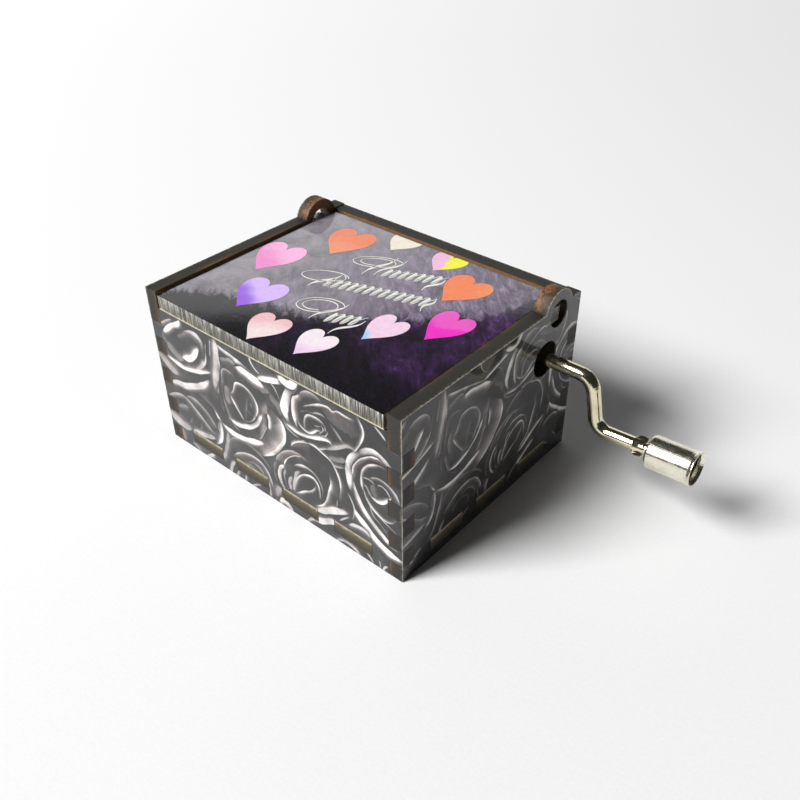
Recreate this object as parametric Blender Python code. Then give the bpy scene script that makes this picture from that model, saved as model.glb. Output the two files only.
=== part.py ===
"""Hand-cranked music box: a finger-jointed board case with a hinged lid, and an 18-note comb movement.

Built in Blender 4.5, in metres, +Z up. X is the case's length with the crank at +X, -Y is the front,
and the lid hinges near the back. Z is 0 on the table, and X is 0 midway between the case's plain end
and the tip of the crank's knob.
"""

from math import asin, cos, pi, radians, sin, tan

import bmesh
import bpy
from mathutils import Matrix, Vector

MM = 0.001
GAP = 0.25  # clearance between pieces that touch, in millimetres like every size below

# Case
LENGTH, DEPTH, HEIGHT = 64.0, 51.5, 36.0
BOARD = 3.0
FINGERS = 10
FINGER = HEIGHT / FINGERS
HALF_X, HALF_Y = LENGTH / 2, DEPTH / 2
INNER_X, INNER_Y = HALF_X - BOARD, HALF_Y - BOARD
PANEL_Z = 1.8  # underside of the bottom panel
TAB_WIDTH, TAB_PITCH = 9.1, 13.5

# Lid and its hinge
LID_Z = HEIGHT - FINGER  # underside of the closed lid
LID_SIDE_GAP = 0.65
LID_BACK_Y = INNER_Y - 0.6
TENON_WIDTH, TENON_REACH = 2.8, 31.15
HINGE_Y, HINGE_Z = 18.4, LID_Z + BOARD / 2
HINGE_HOLE_R, HINGE_HOLE_Z = 2.75, HINGE_Z + 0.6
EAR_R, EAR_Z = 4.5, 34.8
EAR_STEPS = 24

# Crank
SHAFT_Y, SHAFT_Z = 15.1, 26.4
CRANK_HOLE_R, CRANK_HOLE_Z = 3.65, 26.15
ROD_R = 1.35
BEND_1_X, BEND_2_X = 42.1, 44.3
THROW = 10.4
BEND_R = 3.0
HANDLE_TILT = radians(3.5)
KNOB_START, KNOB_LENGTH = 11.0, 8.8  # measured along the handle from its bend
KNOB_R, KNOB_LIP_R, KNOB_WALL = 3.15, 3.4, 0.45
KNOB_ROUND = 0.5  # round between the knob's inner end and its barrel
KNOB_HOLE_R = 1.25
CRANK_SCREW_R, CRANK_SCREW_LENGTH = 1.1, 4.6  # the rod's thin end, in the worm shaft
CRANK_NECK_R = 1.15
CRANK_HEAD_END = 1.75  # how far the rod's head reaches into the knob
PINCH_TURN = radians(50)  # the pinch's fins lean this far from upright

# Drum, worm and wheel
MODULE, TEETH = 0.55, 24
WORM_PITCH = pi * MODULE
WHEEL_R, WORM_R = MODULE * TEETH / 2, 2.2
DRUM_X, DRUM_Z = 9.0, SHAFT_Z - WHEEL_R - WORM_R
DRUM_R, DRUM_WALL = 6.5, 0.8
DRUM_BORE = DRUM_R - DRUM_WALL - GAP  # what fits inside the drum
DRUM_Y0, DRUM_Y1 = -7.2, 12.4
HUB_R, BOSS_R = 2.6, 3.4
ARBOR_R = 1.0
BEARING_PLAY = 0.05
PIN_HEIGHT, PIN_HALF_WIDTH = 0.5, 0.2
COLUMNS = 64  # rows of pins round the drum, two to a beat of the tune
NOTES = 18
NOTE_PITCH = 1.0
NOTES_Y0 = -5.6

# Bedplate, comb and bracket
BED_Z, BED_THICK = PANEL_Z + BOARD + GAP, 2.2
BED_TOP = BED_Z + BED_THICK
COMB_Z = DRUM_Z - 0.4
COMB_THICK = 0.8
COMB_TIP_X = DRUM_X - DRUM_R - PIN_HEIGHT - 0.15
COMB_HEEL_X, COMB_BED_END_X = -19.5, -12.6
COMB_Y = (NOTES_Y0 - 1.1, NOTES_Y0 + (NOTES - 1) * NOTE_PITCH + 1.1)
BASS_ROOT_X, TREBLE_ROOT_X = -11.0, -6.4
TOOTH_GAP = 0.22
WEIGHTED_TEETH = 9
PLATE_Y = 19.6  # front face of the worm bracket's back plate
BRACKET_THICK = 1.2
BRACKET_TOP = SHAFT_Z + 3.0
EAR_INNER = 7.2  # half the space between the bracket's two ears
EAR_OUTER = EAR_INNER + BRACKET_THICK
POST_HALF = 2.6
FRONT_POST_Y = (DRUM_Y0 - 3.0, DRUM_Y0 - 0.8)

# Worm shaft
SHAFT_START, SHAFT_END = DRUM_X - EAR_OUTER - 1.6, DRUM_X + EAR_OUTER + 3.2
JOURNAL_R, COLLAR_R = 1.5, 2.5
THREAD_TURNS = 6
GROOVE = (0.7, 1.3, 1.0)  # the clip's groove: its start and end along the shaft, and its floor's radius
SOCKET_DEPTH = 5.0

# Screws
SCREW_R, MOVEMENT_SCREW_R = 0.85, 0.95
PANEL_HOLE_R = 1.35
COMB_SCREWS = [(-16.2, y) for y in (COMB_Y[0] + 3.2, (COMB_Y[0] + COMB_Y[1]) / 2, COMB_Y[1] - 3.2)]
BRACKET_SCREWS = [(DRUM_X - 5.6, 16.4), (DRUM_X + 5.6, 16.4)]
MOVEMENT_SCREWS = [(-16.5, -10.2), (-16.5, 17.0), (0.0, -10.0)]

KNOB_AXIS = Vector((cos(HANDLE_TILT), 0, sin(HANDLE_TILT)))
BEND_2 = Vector((BEND_2_X, SHAFT_Y, SHAFT_Z - THROW))
KNOB_IN = BEND_2 + KNOB_AXIS * KNOB_START
KNOB_OUT = KNOB_IN + KNOB_AXIS * KNOB_LENGTH
KNOB_TIP_X = KNOB_OUT.x + KNOB_LIP_R * sin(HANDLE_TILT)
CASE_X = (HALF_X - KNOB_TIP_X) / 2  # moves the case so that the whole object is centred


def clear_scene():
    for old in list(bpy.data.objects):
        bpy.data.objects.remove(old, do_unlink=True)


def material(name, colour, metallic, roughness):
    made = bpy.data.materials.new(name)
    made.use_nodes = True
    shader = made.node_tree.nodes["Principled BSDF"]
    shader.inputs["Base Color"].default_value = (*colour, 1)
    shader.inputs["Metallic"].default_value = metallic
    shader.inputs["Roughness"].default_value = roughness
    made.diffuse_color = (*colour, 1)
    return made


def finish(bm, name, look, pivot=(0, 0, 0), smooth=None):
    """Turns the bmesh, in case millimetres, into an object whose origin is at the pivot."""
    bmesh.ops.recalc_face_normals(bm, faces=bm.faces)
    pivot = Vector(pivot)
    bmesh.ops.transform(bm, matrix=Matrix.Scale(MM, 4) @ Matrix.Translation(-pivot), verts=bm.verts)
    mesh = bpy.data.meshes.new(name)
    bm.to_mesh(mesh)
    bm.free()
    if smooth:
        mesh.shade_smooth()
        mesh.set_sharp_from_angle(angle=radians(smooth))
    mesh.materials.append(look)
    made = bpy.data.objects.new(name, mesh)
    made.location = (pivot + Vector((CASE_X, 0, 0))) * MM
    bpy.context.scene.collection.objects.link(made)
    return made


def add_box(bm, low, high):
    size = [b - a for a, b in zip(low, high)]
    centre = [(a + b) / 2 for a, b in zip(low, high)]
    bmesh.ops.create_cube(bm, size=1, matrix=Matrix.Translation(centre) @ Matrix.Diagonal((*size, 1)))


def add_prism(bm, outline, start, end):
    """Extrudes a closed outline of 3-D points, given at the offset start, to the offset end."""
    face = bm.faces.new([bm.verts.new(Vector(point) + Vector(start)) for point in outline])
    grown = bmesh.ops.extrude_face_region(bm, geom=[face])["geom"]
    moved = [item for item in grown if isinstance(item, bmesh.types.BMVert)]
    bmesh.ops.translate(bm, verts=moved, vec=Vector(end) - Vector(start))


def add_turned(bm, profile, base, axis, steps=32):
    """Spins (radius, distance) points about the axis through base."""
    axis = Vector(axis).normalized()
    side = axis.orthogonal().normalized()
    base = Vector(base)
    rim = [bm.verts.new(base + axis * along + side * radius) for radius, along in profile]
    edges = [bm.edges.new(pair) for pair in zip(rim, rim[1:])]
    if profile[0][0] > 0 and profile[-1][0] > 0:
        edges.append(bm.edges.new((rim[-1], rim[0])))
    bmesh.ops.spin(bm, geom=rim + edges, cent=base, axis=axis, angle=2 * pi, steps=steps, use_merge=True)
    bmesh.ops.remove_doubles(bm, verts=bm.verts, dist=1e-5)


def add_rod(bm, radius, start, end, steps=32):
    length = (Vector(end) - Vector(start)).length
    profile = [(0, 0), (radius, 0), (radius, length), (0, length)]
    add_turned(bm, profile, start, Vector(end) - Vector(start), steps)


def boolean(target, operation, bm, name):
    """Cuts, or joins, a helper mesh given in case millimetres. The helper isn't part of the object."""
    helper = finish(bm, name, target.data.materials[0])
    helper.hide_render = True
    helper.display_type = "WIRE"
    step = target.modifiers.new(name, "BOOLEAN")
    step.operation = operation
    step.solver = "EXACT"
    step.object = helper
    return helper


def finger_edge(bottom, top, out, back, own_even):
    """One vertical edge of a wall from bottom to top, as (offset, height) corners.

    Fingers reach out where the wall owns the height and sit back elsewhere. The first finger is
    number 0, and the two top fingers count as one.
    """
    steps = [i * FINGER for i in range(FINGERS - 1)] + [HEIGHT]
    corners = []
    for number, (low, high) in enumerate(zip(steps, steps[1:])):
        own = (number % 2 == 0) == own_even
        low, high = max(low, bottom), min(high, top)
        if high <= low:
            continue
        inset = GAP / 2 if own else -GAP / 2
        offset = out if own else back
        corners.append((offset, low if low == bottom else low + inset))
        corners.append((offset, high if high == top else high - inset))
    return corners


def front_and_back_wall(name, y, top, look):
    edge = finger_edge(0, top, HALF_X, INNER_X - GAP, own_even=False)
    outline = [(x, y, z) for x, z in edge] + [(-x, y, z) for x, z in reversed(edge)]
    bm = bmesh.new()
    add_prism(bm, outline, (0, 0, 0), (0, BOARD, 0))
    wall = finish(bm, name, look)
    cut = bmesh.new()
    for x in tab_centres(4):
        add_box(cut, (x - TAB_WIDTH / 2 - GAP, y - 1, PANEL_Z - GAP),
                (x + TAB_WIDTH / 2 + GAP, y + BOARD + 1, PANEL_Z + BOARD + GAP))
    boolean(wall, "DIFFERENCE", cut, name + "_slots")
    return wall


def tab_centres(count):
    return [(i - (count - 1) / 2) * TAB_PITCH for i in range(count)]


def ear_outline():
    """The hinge ear's arc as (y, z), over the side wall's top edge from its front to its back."""
    start = pi - asin((HEIGHT - EAR_Z) / EAR_R)
    turns = [start + (pi - 2 * start) * i / EAR_STEPS for i in range(EAR_STEPS + 1)]
    return [(HINGE_Y + EAR_R * cos(turn), EAR_Z + EAR_R * sin(turn)) for turn in turns]


def side_wall(name, x, look, crank_hole):
    edge = finger_edge(0, HEIGHT, HALF_Y, INNER_Y - GAP, own_even=True)
    front = [(-offset, z) for offset, z in edge]
    back = [(offset, z) for offset, z in reversed(edge)]
    outline = [(x, y, z) for y, z in front + ear_outline() + back]
    bm = bmesh.new()
    add_prism(bm, outline, (0, 0, 0), (BOARD, 0, 0))
    wall = finish(bm, name, look)
    cut = bmesh.new()
    for y in tab_centres(3):
        add_box(cut, (x - 1, y - TAB_WIDTH / 2 - GAP, PANEL_Z - GAP),
                (x + BOARD + 1, y + TAB_WIDTH / 2 + GAP, PANEL_Z + BOARD + GAP))
    add_rod(cut, HINGE_HOLE_R, (x - 1, HINGE_Y, HINGE_HOLE_Z), (x + BOARD + 1, HINGE_Y, HINGE_HOLE_Z), 48)
    if crank_hole:
        centre = Vector((x, SHAFT_Y, CRANK_HOLE_Z))
        add_rod(cut, CRANK_HOLE_R, centre - Vector((1, 0, 0)), centre + Vector((BOARD + 1, 0, 0)), 48)
    boolean(wall, "DIFFERENCE", cut, name + "_holes")
    return wall


def side_of_tabs(count, inner, outer):
    """One side of the bottom panel as (along, outward) corners."""
    corners = []
    for centre in tab_centres(count):
        low, high = centre - TAB_WIDTH / 2, centre + TAB_WIDTH / 2
        corners += [(low, inner), (low, outer), (high, outer), (high, inner)]
    return corners


def bottom_panel(look):
    in_x, in_y = INNER_X - GAP, INNER_Y - GAP
    long_side = side_of_tabs(4, in_y, HALF_Y)
    short_side = side_of_tabs(3, in_x, HALF_X)
    outline = [(x, -y) for x, y in long_side] + [(in_x, -in_y)]
    outline += [(x, y) for y, x in short_side] + [(in_x, in_y)]
    outline += [(-x, y) for x, y in long_side] + [(-in_x, in_y)]
    outline += [(-x, -y) for y, x in short_side] + [(-in_x, -in_y)]
    bm = bmesh.new()
    add_prism(bm, [(x, y, PANEL_Z) for x, y in outline], (0, 0, 0), (0, 0, BOARD))
    panel = finish(bm, "bottom_panel", look)
    cut = bmesh.new()
    for x, y in MOVEMENT_SCREWS:
        add_rod(cut, PANEL_HOLE_R, (x, y, PANEL_Z - 1), (x, y, PANEL_Z + BOARD + 1), 24)
    boolean(panel, "DIFFERENCE", cut, "panel_screw_holes")
    return panel


def lid(look):
    edge_x = INNER_X - LID_SIDE_GAP
    near, far = HINGE_Y - TENON_WIDTH / 2, HINGE_Y + TENON_WIDTH / 2
    right = [(edge_x, -HALF_Y), (edge_x, near), (TENON_REACH, near), (TENON_REACH, far),
             (edge_x, far), (edge_x, LID_BACK_Y)]
    outline = right + [(-x, y) for x, y in reversed(right)]
    bm = bmesh.new()
    add_prism(bm, [(x, y, LID_Z) for x, y in outline], (0, 0, 0), (0, 0, BOARD))
    return finish(bm, "lid", look, pivot=(0, HINGE_Y, HINGE_Z))


def bedplate(look):
    """The cast base: a floor, the raised bed for the comb, and the drum's front bearing post."""
    bm = bmesh.new()
    add_box(bm, (-20.5, -12.2, BED_Z), (18.5, 21.6, BED_TOP))
    body = finish(bm, "bedplate", look)
    more = bmesh.new()
    add_box(more, (COMB_HEEL_X, COMB_Y[0] - 0.6, BED_Z + 1),
            (COMB_BED_END_X, COMB_Y[1] + 0.6, COMB_Z - GAP))
    boolean(body, "UNION", more, "comb_bed")
    post = bmesh.new()
    foot = POST_HALF + 1.4
    arch = [(DRUM_X - POST_HALF * cos(pi * i / 12), DRUM_Z + POST_HALF * sin(pi * i / 12)) for i in range(13)]
    outline = [(DRUM_X - foot, BED_Z + 1)] + arch + [(DRUM_X + foot, BED_Z + 1)]
    add_prism(post, [(x, FRONT_POST_Y[0], z) for x, z in outline], (0, 0, 0),
              (0, FRONT_POST_Y[1] - FRONT_POST_Y[0], 0))
    boolean(body, "UNION", post, "bearing_post")
    cut = bmesh.new()
    add_rod(cut, ARBOR_R + BEARING_PLAY, (DRUM_X, FRONT_POST_Y[0] - 1, DRUM_Z),
            (DRUM_X, FRONT_POST_Y[1] + 1, DRUM_Z), 48)
    for x, y in COMB_SCREWS:
        add_rod(cut, SCREW_R + GAP, (x, y, COMB_Z - 6), (x, y, COMB_Z + 1), 24)
    for x, y in BRACKET_SCREWS:
        add_rod(cut, SCREW_R + GAP, (x, y, BED_Z + 0.3), (x, y, BED_TOP + 1), 24)
    for x, y in MOVEMENT_SCREWS:
        add_rod(cut, MOVEMENT_SCREW_R + GAP, (x, y, BED_Z - 1), (x, y, BED_TOP + 1), 24)
    boolean(body, "DIFFERENCE", cut, "bed_holes")
    return body


def tooth_sides(note):
    """Where a tooth of the comb starts and ends along Y."""
    middle, half = NOTES_Y0 + note * NOTE_PITCH, (NOTE_PITCH - TOOTH_GAP) / 2
    return middle - half, middle + half


def comb(look):
    """The steel comb: a heel plate whose teeth get shorter from the bass end, at the front, to the treble."""
    shorter = (TREBLE_ROOT_X - BASS_ROOT_X) / (NOTES - 1)
    outline = [(COMB_HEEL_X, COMB_Y[1]), (COMB_HEEL_X, COMB_Y[0]), (BASS_ROOT_X - 1, COMB_Y[0])]
    for note in range(NOTES):
        near, far = tooth_sides(note)
        root = BASS_ROOT_X + shorter * note
        outline += [(root, near), (COMB_TIP_X, near), (COMB_TIP_X, far), (root + shorter, far)]
    outline.append((TREBLE_ROOT_X - 1.1, COMB_Y[1]))
    bm = bmesh.new()
    add_prism(bm, [(x, y, COMB_Z) for x, y in outline], (0, 0, 0), (0, 0, COMB_THICK))
    plate = finish(bm, "comb", look)
    weights = bmesh.new()
    for note in range(WEIGHTED_TEETH):
        near, far = tooth_sides(note)
        length, depth = 4.6 - 0.2 * note, 2.4 - 0.22 * note
        add_box(weights, (COMB_TIP_X - length, near + 0.05, COMB_Z - depth),
                (COMB_TIP_X - 1.2, far - 0.05, COMB_Z + COMB_THICK / 2))
    boolean(plate, "UNION", weights, "tuning_weights")
    cut = bmesh.new()
    for x, y in COMB_SCREWS:
        add_rod(cut, SCREW_R + GAP, (x, y, COMB_Z - 1), (x, y, COMB_Z + COMB_THICK + 1), 24)
    boolean(plate, "DIFFERENCE", cut, "comb_screw_holes")
    return plate


def cheese_screw(name, look, seat, depth, shank_r, head_r, head_height, way=1, slot_turn=0.0):
    """A slotted screw. way is +1 for a head that faces up and -1 for one that faces down."""
    rounding, slot_half = 0.3, 0.22
    bm = bmesh.new()
    turns = [pi / 2 * i / 4 for i in range(5)]
    crown = [(head_r - rounding * (1 - cos(turn)), head_height - rounding * (1 - sin(turn)))
             for turn in turns]
    profile = [(0, -depth), (shank_r, -depth), (shank_r, 0), (head_r, 0)] + crown + [(0, head_height)]
    add_turned(bm, profile, seat, (0, 0, way), 24)
    screw = finish(bm, name, look, smooth=35)
    cut = bmesh.new()
    add_box(cut, (-head_r - 1, -slot_half, head_height / 2), (head_r + 1, slot_half, head_height + 1))
    place = Matrix.Translation(seat) @ Matrix.Rotation(slot_turn, 4, "Z")
    if way < 0:
        place = place @ Matrix.Rotation(pi, 4, "X")
    bmesh.ops.transform(cut, matrix=place, verts=cut.verts)
    boolean(screw, "DIFFERENCE", cut, name + "_slot")
    return screw


def pin_is_set(note, column):
    """The tune, as a rule: a melody that climbs and falls, a slow bass figure, and a third voice."""
    if column % 2:
        return False
    beat, beats = column // 2, COLUMNS // 2
    melody = 9 + round(5.5 * sin(2 * pi * beat / beats) + 2.2 * sin(2 * pi * beat / 8))
    bass = (0, 4, 2, 5)[beat // 4 % 4]
    chord = 3 + beat * 5 % 7
    return note == melody or (beat % 2 == 0 and note == bass) or (beat % 3 == 1 and note == chord)


def drum(look):
    """The brass tube, with a pin pulled out of its skin for each note of the tune."""
    turn = 2 * pi / COLUMNS
    rows = [DRUM_Y0]
    for note in range(NOTES):
        middle = NOTES_Y0 + note * NOTE_PITCH
        rows += [middle - PIN_HALF_WIDTH, middle + PIN_HALF_WIDTH]
    rows.append(DRUM_Y1)
    bm = bmesh.new()

    def ring(radius, y):
        return [bm.verts.new((DRUM_X + radius * cos(i * turn), y, DRUM_Z + radius * sin(i * turn)))
                for i in range(COLUMNS)]

    loops = [ring(DRUM_R, y) for y in rows] + [ring(DRUM_R - DRUM_WALL, y) for y in (DRUM_Y1, DRUM_Y0)]
    skin = {}
    for row, (low, high) in enumerate(zip(loops, loops[1:] + loops[:1])):
        for i in range(COLUMNS):
            j = (i + 1) % COLUMNS
            skin[row, i] = bm.faces.new((low[i], low[j], high[j], high[i]))
    for note in range(NOTES):
        for column in range(COLUMNS):
            if not pin_is_set(note, column):
                continue
            face = skin[1 + 2 * note, column]
            bmesh.ops.inset_individual(bm, faces=[face], thickness=0.03)
            middle = face.calc_center_median()
            away = middle - Vector((DRUM_X, middle.y, DRUM_Z))
            pulled = bmesh.ops.extrude_face_region(bm, geom=[face])["geom"]
            tips = [item for item in pulled if isinstance(item, bmesh.types.BMVert)]
            bmesh.ops.translate(bm, verts=tips, vec=away.normalized() * PIN_HEIGHT)
            bmesh.ops.delete(bm, geom=[face], context="FACES")
    return finish(bm, "drum", look, pivot=(DRUM_X, 0, DRUM_Z), smooth=30)


def drum_cap(look):
    """The disc in the drum's front end, with its hub."""
    bm = bmesh.new()
    bore = ARBOR_R + GAP
    profile = [(bore, -0.2), (HUB_R, -0.2), (HUB_R, 0.4), (DRUM_BORE, 0.4), (DRUM_BORE, 2.0), (HUB_R, 2.0),
               (HUB_R, 3.2), (bore, 3.2)]
    add_turned(bm, profile, (DRUM_X, DRUM_Y0, DRUM_Z), (0, 1, 0), 48)
    return finish(bm, "drum_cap", look, pivot=(DRUM_X, 0, DRUM_Z), smooth=30)


def wheel_outline(turn):
    """The worm wheel's teeth, one after another, as (x, z) about its centre."""
    pitch = 2 * pi / TEETH
    root, tip = WHEEL_R - 1.2 * MODULE, WHEEL_R + 0.9 * MODULE
    flank = [(0.10, tip), (0.27, root + 0.2), (0.33, root)]
    corners = [(-part, radius) for part, radius in reversed(flank)] + flank
    points = []
    for tooth in range(TEETH):
        for part, radius in corners:
            angle = pi / 2 + (tooth + part) * pitch + turn
            points.append((radius * cos(angle), radius * sin(angle)))
    return points


def drum_gear(look):
    """The worm wheel on the drum's rear end. Its teeth lean by the worm's lead angle."""
    lead_angle = WORM_PITCH / (2 * pi * WORM_R)
    half, layers = 1.5, 4
    bm = bmesh.new()
    rings = []
    for layer in range(layers + 1):
        offset = -half + 2 * half * layer / layers
        turn = -offset * lead_angle / WHEEL_R
        rings.append([bm.verts.new((DRUM_X + x, SHAFT_Y + offset, DRUM_Z + z))
                      for x, z in wheel_outline(turn)])
    for low, high in zip(rings, rings[1:]):
        for i in range(len(low)):
            j = (i + 1) % len(low)
            bm.faces.new((low[i], low[j], high[j], high[i]))
    bm.faces.new(rings[0])
    bm.faces.new(rings[-1])
    wheel = finish(bm, "drum_gear", look, pivot=(DRUM_X, 0, DRUM_Z))
    hub = bmesh.new()
    profile = [(0, -4.6), (HUB_R, -4.6), (HUB_R, -3.6), (DRUM_BORE, -3.6), (DRUM_BORE, -half - 0.6),
               (BOSS_R, -half - 0.6), (BOSS_R, half + 0.7), (0, half + 0.7)]
    add_turned(hub, profile, (DRUM_X, SHAFT_Y, DRUM_Z), (0, 1, 0), 48)
    boolean(wheel, "UNION", hub, "wheel_hub")
    cut = bmesh.new()
    add_rod(cut, ARBOR_R + GAP, (DRUM_X, SHAFT_Y - 8, DRUM_Z), (DRUM_X, SHAFT_Y + 8, DRUM_Z), 32)
    boolean(wheel, "DIFFERENCE", cut, "wheel_bore")
    return wheel


def drum_arbor(look):
    bm = bmesh.new()
    start, end, chamfer = FRONT_POST_Y[0] - 0.6, PLATE_Y + BRACKET_THICK + 0.4, 0.2
    length = end - start
    profile = [(0, 0), (ARBOR_R - chamfer, 0), (ARBOR_R, chamfer), (ARBOR_R, length - chamfer),
               (ARBOR_R - chamfer, length), (0, length)]
    add_turned(bm, profile, (DRUM_X, start, DRUM_Z), (0, 1, 0), 48)
    return finish(bm, "drum_arbor", look, pivot=(DRUM_X, 0, DRUM_Z), smooth=30)


def worm_bracket(look):
    """Folded strip: a back plate that bears the arbor, two ears for the worm shaft, and a screwed foot."""
    nose_r, lap = 3.0, 0.6
    foot_z = BED_TOP + GAP
    bm = bmesh.new()
    add_box(bm, (DRUM_X - EAR_OUTER, PLATE_Y, foot_z),
            (DRUM_X + EAR_OUTER, PLATE_Y + BRACKET_THICK, BRACKET_TOP))
    body = finish(bm, "worm_bracket", look)
    for side in (-1, 1):
        ear = bmesh.new()
        near = min(DRUM_X + side * EAR_INNER, DRUM_X + side * EAR_OUTER)
        nose = [(SHAFT_Y - nose_r * sin(pi * i / 12), SHAFT_Z + nose_r * cos(pi * i / 12)) for i in range(13)]
        outline = nose + [(PLATE_Y + lap, SHAFT_Z - nose_r), (PLATE_Y + lap, BRACKET_TOP)]
        add_prism(ear, [(near, y, z) for y, z in outline], (0, 0, 0), (BRACKET_THICK, 0, 0))
        boolean(body, "UNION", ear, f"bracket_ear_{side}")
    foot = bmesh.new()
    add_box(foot, (DRUM_X - EAR_OUTER + 0.4, BRACKET_SCREWS[0][1] - 2.4, foot_z),
            (DRUM_X + EAR_OUTER - 0.4, PLATE_Y + lap, foot_z + BRACKET_THICK))
    boolean(body, "UNION", foot, "bracket_foot")
    cut = bmesh.new()
    add_rod(cut, JOURNAL_R + BEARING_PLAY, (DRUM_X - 12, SHAFT_Y, SHAFT_Z),
            (DRUM_X + 12, SHAFT_Y, SHAFT_Z), 48)
    add_rod(cut, ARBOR_R + BEARING_PLAY, (DRUM_X, PLATE_Y - 1, DRUM_Z), (DRUM_X, PLATE_Y + 3, DRUM_Z), 48)
    for x, y in BRACKET_SCREWS:
        add_rod(cut, SCREW_R + GAP, (x, y, foot_z - 1), (x, y, foot_z + 2.5), 24)
    boolean(body, "DIFFERENCE", cut, "bracket_holes")
    return body


def add_worm_thread(bm, start_x, phase):
    """A right-hand thread as one helical bar, with its foot buried in the shaft."""
    steps = 28
    foot_r, root_r, tip_r = 1.15, WORM_R - 1.25 * MODULE, WORM_R + 0.9 * MODULE
    half = [(tip_r, 0.10), (root_r, 0.33), (foot_r, 0.36)]
    flank = [(radius, -part) for radius, part in reversed(half)] + half
    loops = []
    for i in range(THREAD_TURNS * steps + 1):
        angle = phase + 2 * pi * i / steps
        middle = start_x + WORM_PITCH * i / steps
        loops.append([bm.verts.new((middle + part * WORM_PITCH, SHAFT_Y + radius * cos(angle),
                                    SHAFT_Z + radius * sin(angle))) for radius, part in flank])
    for low, high in zip(loops, loops[1:]):
        for i in range(len(flank)):
            j = (i + 1) % len(flank)
            bm.faces.new((low[i], low[j], high[j], high[i]))
    bm.faces.new(loops[0])
    bm.faces.new(loops[-1])


def worm_shaft(look):
    """The crank's shaft: journals in the bracket's ears, a worm between them, and a socket for the crank."""
    root_r, shoulder = WORM_R - 1.25 * MODULE, EAR_INNER - 0.3
    start, end = DRUM_X - shoulder - SHAFT_START, DRUM_X + shoulder - SHAFT_START
    length, socket_r = SHAFT_END - SHAFT_START, CRANK_SCREW_R + GAP
    groove_start, groove_end, groove_r = GROOVE
    bm = bmesh.new()
    profile = [(0, 0), (JOURNAL_R - 0.2, 0), (JOURNAL_R, 0.2), (JOURNAL_R, groove_start),
               (groove_r, groove_start), (groove_r, groove_end), (JOURNAL_R, groove_end),
               (JOURNAL_R, start), (COLLAR_R, start),
               (COLLAR_R, start + 0.9), (root_r, start + 1.3), (root_r, end - 1.3), (COLLAR_R, end - 0.9),
               (COLLAR_R, end), (JOURNAL_R, end), (JOURNAL_R, length), (socket_r, length),
               (socket_r, length - SOCKET_DEPTH), (0, length - SOCKET_DEPTH)]
    add_turned(bm, profile, (SHAFT_START, SHAFT_Y, SHAFT_Z), (1, 0, 0), 48)
    shaft = finish(bm, "worm_shaft", look, pivot=(0, SHAFT_Y, SHAFT_Z))
    thread = bmesh.new()
    # At the wheel, below the shaft, the thread's middle is half a pitch away from a tooth's middle.
    add_worm_thread(thread, DRUM_X - WORM_PITCH * THREAD_TURNS / 2, phase=pi / 2)
    boolean(shaft, "UNION", thread, "worm_thread")
    return shaft


def ring_piece(name, look, inner, outer, x0, x1):
    """A flat ring on the worm shaft, from x0 to x1."""
    bm = bmesh.new()
    add_turned(bm, [(inner, x0), (outer, x0), (outer, x1), (inner, x1)], (0, SHAFT_Y, SHAFT_Z), (1, 0, 0), 48)
    return finish(bm, name, look, pivot=(0, SHAFT_Y, SHAFT_Z), smooth=30)


def crank_path():
    """Middle line of the bent rod, from inside the worm shaft to inside the knob."""
    start = Vector((SHAFT_END - SOCKET_DEPTH + 0.8, SHAFT_Y, SHAFT_Z))
    corners = [Vector((BEND_1_X, SHAFT_Y, SHAFT_Z)), BEND_2]
    end = KNOB_IN + KNOB_AXIS * CRANK_HEAD_END
    points = [start]
    for before, corner, after in ((start, *corners), (*corners, end)):
        arrive, leave = (corner - before).normalized(), (after - corner).normalized()
        turn = arrive.angle(leave)
        tangent = corner - arrive * BEND_R * tan(turn / 2)
        axis = arrive.cross(leave).normalized()
        centre = tangent + axis.cross(arrive) * BEND_R
        points += [centre + Matrix.Rotation(turn * i / 10, 3, axis) @ (tangent - centre) for i in range(11)]
    return points + [end]


def rod_ring(centre, way, radius, fin=0.0, flat=0.0):
    """One ring of the rod's skin. A pinch draws two fins out of opposite sides and flattens the others."""
    sides = 32
    across = Vector((0, 1, 0))
    up = way.cross(across).normalized()
    ring = []
    for i in range(sides):
        turn = 2 * pi * i / sides
        crest = abs(cos(turn - PINCH_TURN)) ** 24
        reach = radius - flat * abs(sin(turn - PINCH_TURN)) + fin * crest
        ring.append(centre + (up * cos(turn) + across * sin(turn)) * reach)
    return ring


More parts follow.
